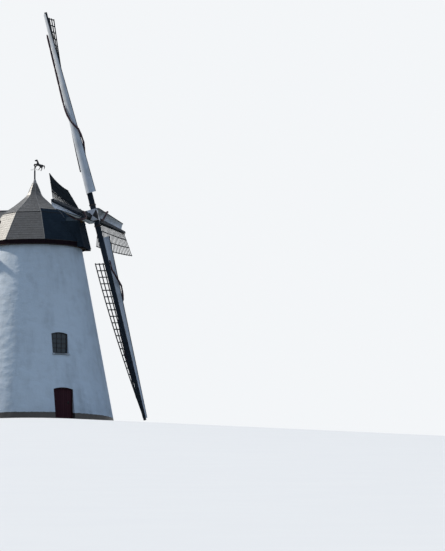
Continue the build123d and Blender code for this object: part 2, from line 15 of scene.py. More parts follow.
import bmesh
import bpy
import numpy as np
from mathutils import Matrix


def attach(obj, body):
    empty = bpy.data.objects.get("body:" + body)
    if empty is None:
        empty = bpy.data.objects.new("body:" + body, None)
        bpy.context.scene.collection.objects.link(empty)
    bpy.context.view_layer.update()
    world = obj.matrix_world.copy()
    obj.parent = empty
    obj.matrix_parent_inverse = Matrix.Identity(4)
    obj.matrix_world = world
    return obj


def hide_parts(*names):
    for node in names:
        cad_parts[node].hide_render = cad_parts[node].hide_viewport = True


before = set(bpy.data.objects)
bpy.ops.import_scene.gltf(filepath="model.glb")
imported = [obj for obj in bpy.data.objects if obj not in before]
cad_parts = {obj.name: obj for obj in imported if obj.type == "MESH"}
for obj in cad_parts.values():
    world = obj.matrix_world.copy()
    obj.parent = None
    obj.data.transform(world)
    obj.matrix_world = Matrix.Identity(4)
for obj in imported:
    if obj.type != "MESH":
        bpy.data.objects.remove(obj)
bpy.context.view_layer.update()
LOG = logging.getLogger("tower_mill")

Array = np.ndarray
Colour = tuple[float, float, float]


class Body(Enum):
    """The rigid bodies that pieces ride on."""

    TOWER = "tower"
    DOOR = "door"
    CAP = "cap"
    SAILS = "sails"
    VANE = "vane"


class Row(Enum):
    """The two ways in which upright boards stand in a row."""

    STRAIGHT = 0
    ROUND = 1


# Frames of the turned cap and of the sails


@dataclass(frozen=True)
class Pose:
    """A place and three directions that local points are carried to."""

    origin: tuple[float, float, float]
    axes: tuple[tuple[float, float, float], ...]

    def put(self, points: Array) -> Array:
        """Carry points, as origin + x * first + y * second + z * third direction."""
        return np.asarray(self.origin) + np.asarray(points, float) @ np.asarray(self.axes)


@dataclass(frozen=True)
class MillLayout:
    """The sizes that the cap and the sails share with the part's source."""

    heading: float = math.radians(56)
    tilt: float = math.radians(13.5)
    turn: float = math.radians(2.8)
    hub_out: float = 3.45
    hub_z: float = 12.1
    stock_front: float = -0.11
    stock_back: float = 0.215
    sail_radius: float = 12.20

    def cap(self) -> Pose:
        """Return the cap's frame, whose -Y points along the windshaft."""
        c, s = math.cos(self.heading), math.sin(self.heading)
        return Pose((0, 0, 0), ((c, s, 0), (-s, c, 0), (0, 0, 1)))

    def rotor(self) -> Pose:
        """Return the sails' frame: -Y runs out along the shaft and Z is up across it."""
        cap = self.cap()
        ct, st = math.cos(self.tilt), math.sin(self.tilt)
        local = np.array([[1, 0, 0], [0, ct, -st], [0, st, ct]])
        axes = local @ np.asarray(cap.axes)
        origin = cap.put(np.array([0, -self.hub_out, self.hub_z]))
        return Pose(tuple(origin), tuple(map(tuple, axes)))

    def arm(self, index: int) -> Pose:
        """Return one sail's frame, Z out along the stock and -X on the leading side.

        Args:
            index: The sail, 0 to 3, anticlockwise from the upper one.

        Returns:
            The frame, whose origin is on the shaft.
        """
        rotor = self.rotor()
        angle = self.turn + index * math.pi / 2
        c, s = math.cos(angle), math.sin(angle)
        local = np.array([[c, 0, s], [0, 1, 0], [-s, 0, c]])
        offset = self.stock_front if index % 2 == 0 else self.stock_back
        origin = rotor.put(np.array([0, offset, 0]))
        return Pose(tuple(origin), tuple(map(tuple, local @ np.asarray(rotor.axes))))


MILL = MillLayout()


# Shader expressions


class Wire:
    """One socket of a node tree, with the operators that shader sums use."""

    def __init__(self, tree: "Shade", socket: bpy.types.NodeSocket) -> None:
        """Keep the socket and the tree that it belongs to."""
        self.tree = tree
        self.socket = socket

    def _math(self, operation: str, *values: "Wire | float") -> "Wire":
        """Add a Math node and return its value."""
        return self.tree.node("ShaderNodeMath", {"operation": operation}, dict(enumerate(values)))

    def __add__(self, other: "Wire | float") -> "Wire":
        """Return the sum."""
        return self._math("ADD", self, other)

    def __radd__(self, other: float) -> "Wire":
        """Return the sum, reflected."""
        return self._math("ADD", other, self)

    def __sub__(self, other: "Wire | float") -> "Wire":
        """Return the difference."""
        return self._math("SUBTRACT", self, other)

    def __rsub__(self, other: float) -> "Wire":
        """Return the difference, reflected."""
        return self._math("SUBTRACT", other, self)

    def __mul__(self, other: "Wire | float") -> "Wire":
        """Return the product."""
        return self._math("MULTIPLY", self, other)

    def __rmul__(self, other: float) -> "Wire":
        """Return the product, reflected."""
        return self._math("MULTIPLY", other, self)

    def __truediv__(self, other: "Wire | float") -> "Wire":
        """Return the quotient."""
        return self._math("DIVIDE", self, other)

    def __gt__(self, other: "Wire | float") -> "Wire":
        """Return 1 where this is greater, else 0."""
        return self._math("GREATER_THAN", self, other)

    def __lt__(self, other: "Wire | float") -> "Wire":
        """Return 1 where this is less, else 0."""
        return self._math("LESS_THAN", self, other)

    def abs(self) -> "Wire":
        """Return the size without its sign."""
        return self._math("ABSOLUTE", self)

    def floor(self) -> "Wire":
        """Return the whole number below."""
        return self._math("FLOOR", self)

    def wrap(self) -> "Wire":
        """Return what is left over the whole number below."""
        return self._math("FRACT", self)

    def least(self, other: "Wire | float") -> "Wire":
        """Return the smaller of two values."""
        return self._math("MINIMUM", self, other)

    def most(self, other: "Wire | float") -> "Wire":
        """Return the larger of two values."""
        return self._math("MAXIMUM", self, other)

    def step(self, low: float, high: float) -> "Wire":
        """Return a smooth rise from 0 at low to 1 at high."""
        return self.tree.node(
            "ShaderNodeMapRange",
            {"interpolation_type": "SMOOTHSTEP"},
            {"Value": self, "From Min": low, "From Max": high},
        )


class Shade:
    """A material's node tree, and the few calls that finishes are written with."""

    def __init__(self, name: str) -> None:
        """Make an empty material with one surface shader.

        Args:
            name: The material's name.
        """
        self.material = bpy.data.materials.new(name)
        self.material.use_nodes = True
        self.tree = self.material.node_tree
        self.surface = self.tree.nodes["Principled BSDF"]
        coordinates = self.tree.nodes.new("ShaderNodeTexCoord")
        self.place = Wire(self, coordinates.outputs["Object"])
        parts = self.tree.nodes.new("ShaderNodeSeparateXYZ")
        self.tree.links.new(coordinates.outputs["Object"], parts.inputs[0])
        self.x, self.y, self.z = (Wire(self, parts.outputs[i]) for i in range(3))

    def node(
        self,
        kind: str,
        settings: dict[str, object],
        values: dict[int | str, object],
        output: int | str = 0,
    ) -> Wire:
        """Add any node.

        Args:
            kind: The node's type name.
            settings: Properties to set first.
            values: A number, colour or wire for each input socket.
            output: Which output to return.

        Returns:
            The chosen output.
        """
        made = self.tree.nodes.new(kind)
        for name, value in settings.items():
            setattr(made, name, value)
        for key, value in values.items():
            if isinstance(value, Wire):
                self.tree.links.new(value.socket, made.inputs[key])
            else:
                made.inputs[key].default_value = value
        return Wire(self, made.outputs[output])

    def noise(self, scale: float, detail: float = 3, stretch: Colour = (1, 1, 1)) -> Wire:
        """Return soft noise between 0 and 1, with its pattern stretched along an axis."""
        moved = self.node("ShaderNodeMapping", {}, {"Vector": self.place, "Scale": stretch})
        return self.node(
            "ShaderNodeTexNoise", {}, {"Vector": moved, "Scale": scale, "Detail": detail}, "Fac"
        )

    def cells(self, scale: float, stretch: Colour = (1, 1, 1), feature: str = "F1") -> Wire:
        """Return the distance pattern of scattered cells."""
        moved = self.node("ShaderNodeMapping", {}, {"Vector": self.place, "Scale": stretch})
        return self.node(
            "ShaderNodeTexVoronoi", {"feature": feature}, {"Vector": moved, "Scale": scale}
        )

    def speck(self, value: Wire) -> Wire:
        """Return one random number for each whole value, the same all over a board."""
        return self.node(
            "ShaderNodeTexWhiteNoise", {"noise_dimensions": "1D"}, {"W": value}, "Value"
        )

    def attribute(self, name: str) -> Wire:
        """Read a number that is stored on the piece."""
        return self.node("ShaderNodeAttribute", {"attribute_name": name}, {}, "Fac")

    def along(self, direction: Sequence[float], origin: Sequence[float] = (0, 0, 0)) -> Wire:
        """Return how far a point lies along a direction from an origin.

        Args:
            direction: A unit direction.
            origin: The point that counts as 0.

        Returns:
            The distance in metres.
        """
        offset = float(np.dot(direction, origin))
        dot = self.node(
            "ShaderNodeVectorMath",
            {"operation": "DOT_PRODUCT"},
            {0: self.place, 1: tuple(direction)},
            "Value",
        )
        return dot - offset

    def blend(self, low: "Wire | Colour", high: "Wire | Colour", amount: "Wire | float") -> Wire:
        """Mix two colours.

        Args:
            low: The colour at 0.
            high: The colour at 1.
            amount: How far to go from the first to the second.

        Returns:
            The mixed colour.
        """

        def full(colour: "Wire | Colour") -> "Wire | tuple[float, ...]":
            """Give a plain colour its fourth number."""
            return colour if isinstance(colour, Wire) else (*colour, 1.0)

        made = self.tree.nodes.new("ShaderNodeMix")
        made.data_type = "RGBA"
        sockets = {"Factor": made.inputs[0], "A": made.inputs[6], "B": made.inputs[7]}
        for key, value in (("Factor", amount), ("A", full(low)), ("B", full(high))):
            if isinstance(value, Wire):
                self.tree.links.new(value.socket, sockets[key])
            else:
                sockets[key].default_value = value
        return Wire(self, made.outputs[2])

    def bump(self, height: Wire, depth: float) -> None:
        """Raise the surface by a height pattern of a depth in metres."""
        normal = self.node(
            "ShaderNodeBump", {}, {"Height": height, "Distance": depth, "Strength": 1.0}, "Normal"
        )
        self.tree.links.new(normal.socket, self.surface.inputs["Normal"])

    def finish(
        self, colour: Wire, rough: "Wire | float", metal: float = 0.0
    ) -> bpy.types.Material:
        """Join the colour, roughness and metal to the surface.

        Args:
            colour: The base colour.
            rough: The roughness, one value or a wire.
            metal: How metallic the surface is.

        Returns:
            The finished material.
        """
        self.tree.links.new(colour.socket, self.surface.inputs["Base Color"])
        if isinstance(rough, Wire):
            self.tree.links.new(rough.socket, self.surface.inputs["Roughness"])
        else:
            self.surface.inputs["Roughness"].default_value = rough
        self.surface.inputs["Metallic"].default_value = metal
        return self.material


# Finishes

# An index of refraction so low that weathered wood gives no glare at a grazing angle
DULL = 1.02
WOOD_RELIEF = 0.004


@dataclass(frozen=True)
class Limewash:
    """Lumpy lime plaster, washed white, with a tarred foot; its white and worn tones carry a cool
    blue tint that is painted sky shade.
    """

    # Painted sky shade: white and worn are tinted cool blue over the wash's own white
    white: Colour = (0.63, 0.69, 0.75)
    worn: Colour = (0.44, 0.48, 0.52)
    stone: Colour = (0.30, 0.31, 0.29)
    tar: Colour = (0.022, 0.022, 0.024)
    tar_top: float = 0.40
    splash_top: float = 1.6
    relief: float = 0.035

    def make(self) -> bpy.types.Material:
        """Build the material: stone lumps, rain streaks, splashes, patches and a black foot."""
        s = Shade("limewash")
        stones = s.cells(2.1, (1, 1, 1.5), "SMOOTH_F1")
        fine = s.noise(9, 5)
        broad = s.noise(0.55, 3)
        streak = s.noise(1.5, 4, (1.6, 1.6, 0.16))
        grime = (streak * broad * 3.2 - 0.62).step(0.0, 0.9) * 0.55
        patches = (s.noise(1.3, 6) - 0.5).step(0.02, 0.2) * 0.3
        splash = (self.splash_top - s.z).step(0.0, self.splash_top) * 0.35
        colour = s.blend(self.white, self.worn, (grime + patches + splash).least(1.0))
        colour = s.blend(colour, self.stone, (stones - 0.42).step(0.0, 0.5) * 0.16)
        edge = s.z + (s.noise(5, 3) - 0.5) * 0.07
        tarred = edge < self.tar_top
        colour = s.blend(colour, self.tar, tarred)
        s.bump(stones * -0.9 + fine * 0.35 + broad * 0.8, self.relief)
        return s.finish(colour, 0.92 - tarred * 0.4)


@dataclass(frozen=True)
class Boards:
    """Boards side by side, each with its own tone, a dark gap and long grain."""

    name: str
    colour: Colour
    dark: Colour
    width: float
    row: Row
    heading: float = 0.0
    rough: float = 0.6
    groove: float = 0.006
    tone: float = 0.35
    radius: float = 2.95
    deep: Colour = (0.006, 0.005, 0.005)

    def make(self) -> bpy.types.Material:
        """Build the material, with boards counted along the heading or round a ring."""
        s = Shade(self.name)
        if self.row is Row.ROUND:
            angle = s.node("ShaderNodeMath", {"operation": "ARCTAN2"}, {0: s.y, 1: s.x})
            run = angle * self.radius
        else:
            run = s.along((math.cos(self.heading), math.sin(self.heading), 0))
        count = run / self.width
        inside = (count.wrap() - 0.5).abs()
        groove = self.groove / self.width
        gap = (inside - (0.5 - groove)).step(0.0, 0.6 * groove)
        grain = s.noise(5, 6, (7.0, 7.0, 0.5))
        tone = s.speck(count.floor()) * self.tone + grain * 0.5
        colour = s.blend(self.dark, self.colour, tone + 0.15)
        colour = s.blend(colour, self.deep, gap * 0.85)
        s.bump(grain * 0.3 - gap * 1.6, WOOD_RELIEF)
        s.surface.inputs["IOR"].default_value = DULL
        return s.finish(colour, self.rough + grain * 0.15)


@dataclass(frozen=True)
class Timber:
    """Sawn or tarred timber with weathered faces and fine checks."""

    name: str
    colour: Colour
    worn: Colour
    rough: float = 0.7
    scale: float = 6.0
    ior: float = DULL
    deep: Colour = (0.008, 0.007, 0.007)

    def make(self) -> bpy.types.Material:
        """Build the material from broad wear, grain and small checks."""
        s = Shade(self.name)
        grain = s.noise(self.scale * 4, 6, (1, 1, 0.35))
        wear = (s.noise(self.scale * 0.25, 5) - 0.48).step(0.0, 0.22)
        checks = (s.noise(self.scale * 3, 2, (2.2, 2.2, 0.25)) - 0.62).step(0.0, 0.06)
        colour = s.blend(self.colour, self.worn, wear * 0.55 + grain * 0.3)
        colour = s.blend(colour, self.deep, checks * 0.6)
        s.bump(grain * 0.6 - checks, WOOD_RELIEF)
        s.surface.inputs["IOR"].default_value = self.ior
        return s.finish(colour, self.rough + grain * 0.12)


@dataclass(frozen=True)
class Slate:
    """Split slates, each of its own grey, with a riven face and lichen flecks."""

    light: Colour = (0.042, 0.046, 0.054)
    dark: Colour = (0.016, 0.019, 0.025)
    lichen: Colour = (0.22, 0.23, 0.19)
    shine: float = 0.8

    def make(self) -> bpy.types.Material:
        """Build the material from each slate's stored tone, riven layers and lichen."""
        s = Shade("slate")
        tone = s.attribute("tone")
        riven = s.noise(14, 5, (1, 1, 0.6))
        colour = s.blend(self.dark, self.light, tone * 0.8 + riven * 0.3)
        flecks = (s.noise(38, 2) - 0.66).step(0.0, 0.08) * (s.noise(0.8, 2) - 0.4).step(0.0, 0.3)
        colour = s.blend(colour, self.lichen, flecks * 0.6)
        s.bump(riven, 0.006)
        s.surface.inputs["Specular IOR Level"].default_value = self.shine
        return s.finish(colour, 0.33 + riven * 0.08)


@dataclass(frozen=True)
class PalePaint:
    """Pale painted boards that have weathered to a cool white with worn grain."""

    paint: Colour = (0.60, 0.63, 0.68)
    worn: Colour = (0.34, 0.35, 0.36)
    bare: Colour = (0.10, 0.10, 0.10)

    def make(self) -> bpy.types.Material:
        """Build the material from stains, small chips and brush marks."""
        s = Shade("pale_paint")
        stain = s.noise(1.1, 5)
        chips = (s.noise(26, 3) - 0.66).step(0.0, 0.05)
        fine = s.noise(60, 2)
        colour = s.blend(self.paint, self.worn, (stain - 0.42).step(0.0, 0.35) * 0.6)
        colour = s.blend(colour, self.bare, chips * 0.55)
        s.bump(fine * 0.4 - chips, 0.002)
        return s.finish(colour, 0.55 + stain * 0.2)


@dataclass(frozen=True)
class Canvas:
    """Tanned sail canvas: a woven thread pattern, faded folds and damp stains."""

    colour: Colour = (0.032, 0.013, 0.022)
    faded: Colour = (0.066, 0.030, 0.040)
    threads: float = 90.0

    def make(self) -> bpy.types.Material:
        """Build the weave from the larger of two crossed waves on the cloth's own map."""
        s = Shade("canvas")
        cloth = s.node("ShaderNodeUVMap", {"uv_map": "cloth"}, {})
        warp, weft = (
            s.node(
                "ShaderNodeTexWave",
                {"bands_direction": direction},
                {"Vector": cloth, "Scale": self.threads},
                "Fac",
            )
            for direction in ("X", "Y")
        )
        stain = s.noise(2.4, 5)
        fade = (s.noise(7, 3) - 0.45).step(0.0, 0.3)
        colour = s.blend(self.colour, self.faded, fade * 0.6 + stain * 0.25)
        s.bump(warp.most(weft) * 0.3 + s.noise(16, 3) * 0.7, 0.006)
        return s.finish(colour, 0.85 + stain * 0.1)


@dataclass(frozen=True)
class PollPaint:
    """The casting on the shaft's end, painted dark with white triangles."""

    dark: Colour = (0.02, 0.02, 0.024)
    white: Colour = (0.58, 0.56, 0.57)
    rust: Colour = (0.09, 0.06, 0.045)
    half_width: float = 0.33
    half_depth: float = 0.29
    middle: float = 0.01
    front: float = 0.285

    def make(self) -> bpy.types.Material:
        """Build the triangles that each side's two diagonals make, in turn white and dark.

        A point of a side is white where it lies further across from the middle than in or
        out from it, and a point of the front where it lies further up or down than across.
        """
        s = Shade("poll_paint")
        pose = MILL.rotor()
        c, k = math.cos(MILL.turn), math.sin(MILL.turn)
        local = np.array([[c, 0, k], [0, 1, 0], [-k, 0, c]]) @ np.asarray(pose.axes)
        across = s.along(local[0], pose.origin)
        out = s.along(-local[1], pose.origin)
        up = s.along(local[2], pose.origin)
        side = across.abs().least(up.abs()) / self.half_width
        depth = (out - self.middle).abs() / self.half_depth
        front = out > self.front
        face = (up.abs() - across.abs()) > 0.0
        mask = (side > depth) * (1 - front) + face * front
        colour = s.blend(self.dark, self.white, mask)
        chips = (s.noise(30, 4) - 0.6).step(0.0, 0.06)
        colour = s.blend(colour, self.rust, chips * 0.25)
        s.bump(s.noise(50, 3) - chips, 0.003)
        s.surface.inputs["Specular IOR Level"].default_value = 0.2
        return s.finish(colour, 0.6)


@dataclass(frozen=True)
class Metal:
    """Painted or bare metal with a mottled surface and a little rust."""

    name: str
    colour: Colour
    rust: Colour = (0.11, 0.045, 0.02)
    rough: float = 0.5
    metal: float = 0.6
    rusty: float = 0.3

    def make(self) -> bpy.types.Material:
        """Build the material from mottling, rust patches and hammer marks."""
        s = Shade(self.name)
        mottle = s.noise(22, 5)
        patches = (s.noise(7, 4) - 0.55).step(0.0, 0.15) * self.rusty
        shaded = s.blend(tuple(v * 0.7 for v in self.colour), self.colour, mottle)
        colour = s.blend(shaded, self.rust, patches)
        s.bump(mottle, 0.0015)
        return s.finish(colour, self.rough + mottle * 0.2, self.metal)


@dataclass(frozen=True)
class Rock:
    """Dressed or flagged stone in slabs with sandy grain."""

    name: str
    colour: Colour
    dark: Colour
    slab: float = 0.6

    def make(self) -> bpy.types.Material:
        """Build slabs from scattered cells with darker joints."""
        s = Shade(self.name)
        joints = s.cells(1 / self.slab, (1, 1, 0.01), "DISTANCE_TO_EDGE")
        grain = s.noise(40, 5)
        colour = s.blend(self.dark, self.colour, s.noise(2.2, 4) * 0.7 + grain * 0.4)
        joint = (0.035 - joints).step(0.0, 0.02)
        colour = s.blend(colour, tuple(v * 0.35 for v in self.dark), joint * 0.8)
        s.bump(grain * 0.4 - joint, 0.006)
        return s.finish(colour, 0.85)


@dataclass(frozen=True)
class Pane:
    """Old window glass, slightly rippled, coloured dark as painted shade of the dim room behind
    it.
    """

    # Painted shade: the glass is opaque, and these colours stand in for the dim room behind it
    dark: Colour = (0.020, 0.034, 0.042)
    light: Colour = (0.040, 0.062, 0.075)

    def make(self) -> bpy.types.Material:
        """Build a glossy sheet whose dark colour is painted shade of the room behind, lightened
        where the soft ripple rises.
        """
        s = Shade("old_glass")
        ripple = s.noise(7, 2)
        s.bump(ripple, 0.002)
        colour = s.blend(self.dark, self.light, ripple)
        s.surface.inputs["Specular IOR Level"].default_value = 0.25
        return s.finish(colour, 0.08)


class Finishes:
    """Every finish of the mill, made once and looked up by name."""

    def __init__(self) -> None:
        """Make all the materials."""
        finishes = {
            "limewash": Limewash(),
            "slate": Slate(),
            "roof_boards": Timber("roof_boards", (0.035, 0.033, 0.034), (0.07, 0.065, 0.06)),
            "skirt": Boards(
                "skirt_boards", (0.026, 0.013, 0.017), (0.010, 0.008, 0.010), 0.14, Row.ROUND
            ),
            "front_boards": Boards(
                "front_boards",
                (0.032, 0.042, 0.053),
                (0.018, 0.024, 0.032),
                0.16,
                Row.STRAIGHT,
                MILL.heading,
            ),
            "door": Boards(
                "door_boards", (0.080, 0.030, 0.036), (0.036, 0.015, 0.019), 0.135, Row.STRAIGHT
            ),
            "door_frame": Timber("door_frame", (0.05, 0.022, 0.022), (0.10, 0.05, 0.045)),
            "window_frame": Timber("window_paint", (0.035, 0.030, 0.032), (0.09, 0.08, 0.08)),
            "glass": Pane(),
            "sill": Rock("sill_stone", (0.52, 0.55, 0.58), (0.36, 0.38, 0.40), 3.0),
            "flags": Rock("floor_flags", (0.30, 0.28, 0.25), (0.17, 0.16, 0.15)),
            "oak": Timber("oak", (0.20, 0.125, 0.07), (0.30, 0.22, 0.15)),
            "floor_boards": Boards(
                "floor_boards", (0.27, 0.18, 0.11), (0.13, 0.085, 0.05), 0.2, Row.STRAIGHT
            ),
            "tarred_boards": Timber(
                "tarred_boards", (0.024, 0.035, 0.047), (0.033, 0.046, 0.060), 0.8
            ),
            "tarred": Timber(
                "tarred_timber", (0.020, 0.027, 0.037), (0.038, 0.046, 0.058), 0.6, ior=1.12
            ),
            "lattice": Timber(
                "lattice_timber", (0.022, 0.027, 0.032), (0.046, 0.050, 0.050), 0.8
            ),
            "pale": PalePaint(),
            "canvas": Canvas(),
            "rope": Timber("rope", (0.22, 0.17, 0.11), (0.34, 0.28, 0.20), 0.9, 18),
            "poll": PollPaint(),
            "iron": Metal("forged_iron", (0.028, 0.028, 0.032)),
            "hip": Metal("hip_sheet", (0.10, 0.11, 0.125), rough=0.6, metal=0.2, rusty=0.0),
            "lead": Metal("grey_sheet", (0.27, 0.28, 0.30), rough=0.55, rusty=0.0),
            "vane": Metal("vane_paint", (0.030, 0.030, 0.034), rough=0.6, metal=0.2),
        }
        self.made = {name: finish.make() for name, finish in finishes.items()}

    def __getitem__(self, name: str) -> bpy.types.Material:
        """Return one material."""
        return self.made[name]


# Mesh helpers


def add_piece(
    name: str,
    points: Array,
    faces: Sequence[Sequence[int]] | Array,
    material: bpy.types.Material,
    body: Body,
    slot: str,
    smooth: bool = False,
) -> bpy.types.Object:
    """Make a piece from whole arrays and let it ride on a body.

    Args:
        name: The piece's plain name.
        points: Its vertices, one row each.
        faces: Vertex numbers of each face.
        material: Its finish.
        body: The body that it moves with.
        slot: The record's material slot; not used.
        smooth: Whether its faces are shaded smooth.

    Returns:
        The new object.
    """
    mesh = bpy.data.meshes.new(name)
    polygons = faces.tolist() if isinstance(faces, np.ndarray) else faces
    mesh.from_pydata(np.asarray(points).tolist(), [], polygons)
    mesh.materials.append(material)
    mesh.polygons.foreach_set("use_smooth", np.full(len(mesh.polygons), smooth))
    mesh.update()
    made = bpy.data.objects.new(name, mesh)
    bpy.context.scene.collection.objects.link(made)
    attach(made, body.value)
    LOG.info("%s: %d faces on %s", name, len(mesh.polygons), body.value)
    return made


BLOCK_FACES = np.array(
    [[0, 3, 2, 1], [4, 5, 6, 7], [0, 1, 5, 4], [1, 2, 6, 5], [2, 3, 7, 6], [3, 0, 4, 7]]
)


def block_mesh(corners: Array) -> tuple[Array, Array]:
    """Join many six-sided blocks into one mesh.

    Args:
        corners: Blocks by 8 corners by 3, the lower four and then the upper four, each
            anticlockwise seen from outside above.

    Returns:
        The vertices, and the faces as the same six faces shifted by 8 for each block.
    """
    count = len(corners)
    faces = BLOCK_FACES[None] + 8 * np.arange(count)[:, None, None]
    return corners.reshape(-1, 3), faces.reshape(-1, 4)


def bar_blocks(starts: Array, ends: Array, width: float, depth: float, up: Array) -> Array:
    """Make square bars from starts to ends: each end is a rectangle across the bar.

    Args:
        starts: One end of each bar.
        ends: The other end of each bar.
        width: Size across the bar, square to up.
        depth: Size along up.
        up: The direction of the depth, one for all or one each.

    Returns:
        The corners of the bars, for block_mesh.
    """
    along = ends - starts
    along = along / np.linalg.norm(along, axis=1, keepdims=True)
    up = np.broadcast_to(np.asarray(up, float), along.shape)
    side = np.cross(along, up)
    side = side / np.linalg.norm(side, axis=1, keepdims=True) * width / 2
    rise = np.cross(side, along)
    rise = rise / np.linalg.norm(rise, axis=1, keepdims=True) * depth / 2
    ring = [side - rise, side + rise, -side + rise, -side - rise]
    low = np.stack([starts + part for part in ring], 1)
    high = np.stack([ends + part for part in ring], 1)
    return np.concatenate([low, high], 1)


def grid_faces(rows: int, columns: int, closed: bool) -> Array:
    """Number the quads of a grid of points that are kept row after row.

    Args:
        rows: How many rows there are.
        columns: How many points a row has.
        closed: Whether each row joins up into a ring.

    Returns:
        Four vertex numbers for each quad.
    """
    row = np.arange(rows - 1)[:, None]
    column = np.arange(columns if closed else columns - 1)[None]
    after = (column + 1) % columns
    corners = [row * columns + column, row * columns + after]
    upper = [(row + 1) * columns + after, (row + 1) * columns + column]
    return np.stack(corners + upper, -1).reshape(-1, 4)


def path_frames(path: Array, hint: Array) -> tuple[Array, Array]:
    """Give two directions square to a path at each point, from its slope and a hint.

    The first is the hint with its part along the slope taken off, the second their cross.

    Args:
        path: Points, one row each.
        hint: A direction that the path never runs along.

    Returns:
        The two directions, with one row for each point.
    """
    slope = np.gradient(path, axis=0)
    slope = slope / np.linalg.norm(slope, axis=1, keepdims=True)
    first = hint - np.sum(slope * hint, axis=1, keepdims=True) * slope
    first = first / np.linalg.norm(first, axis=1, keepdims=True)
    return first, np.cross(slope, first)


def spokes(turn: Array, first: Array, second: Array) -> Array:
    """Give the unit arms cos v * first + sin v * second, one row for each point of a path."""
    flat = np.cos(turn)[None, :, None] * first[:, None]
    return flat + np.sin(turn)[None, :, None] * second[:, None]


def tube(path: Array, radius: Array | float, sides: int, hint: Array) -> tuple[Array, list]:
    """Carry a circle along a path and close both ends.

    A point is path + radius * (cos v * first + sin v * second), v going once round.

    Args:
        path: Points to follow.
        radius: One radius, or one for each point.
        sides: Points round the circle.
        hint: A direction that the path never runs along.

    Returns:
        The vertices and faces.
    """
    first, second = path_frames(path, hint)
    turn = np.linspace(0, 2 * math.pi, sides, endpoint=False)
    size = np.broadcast_to(np.asarray(radius, float), (len(path),))[:, None, None]
    points = (path[:, None] + size * spokes(turn, first, second)).reshape(-1, 3)
    faces = grid_faces(len(path), sides, True).tolist()
    last = (len(path) - 1) * sides
    faces.append(list(range(sides))[::-1])
    faces.append([last + number for number in range(sides)])
    return points, faces


def join_meshes(meshes: Sequence[tuple[Array, Sequence]]) -> tuple[Array, list]:
    """Put several meshes into one, shifting the face numbers of each.

    Args:
        meshes: The vertices and faces of each.

    Returns:
        All the vertices and all the faces.
    """
    points, faces, shift = [], [], 0
    for vertices, polygons in meshes:
        points.append(np.asarray(vertices))
        faces.extend([[int(number) + shift for number in polygon] for polygon in polygons])
        shift += len(vertices)
    return np.concatenate(points), faces


def set_tone(piece: bpy.types.Object, tones: Array) -> None:
    """Store one tone for each vertex as the attribute that the slates read."""
    layer = piece.data.attributes.new("tone", "FLOAT", "POINT")
    layer.data.foreach_set("value", np.asarray(tones, np.float32))


# Tower


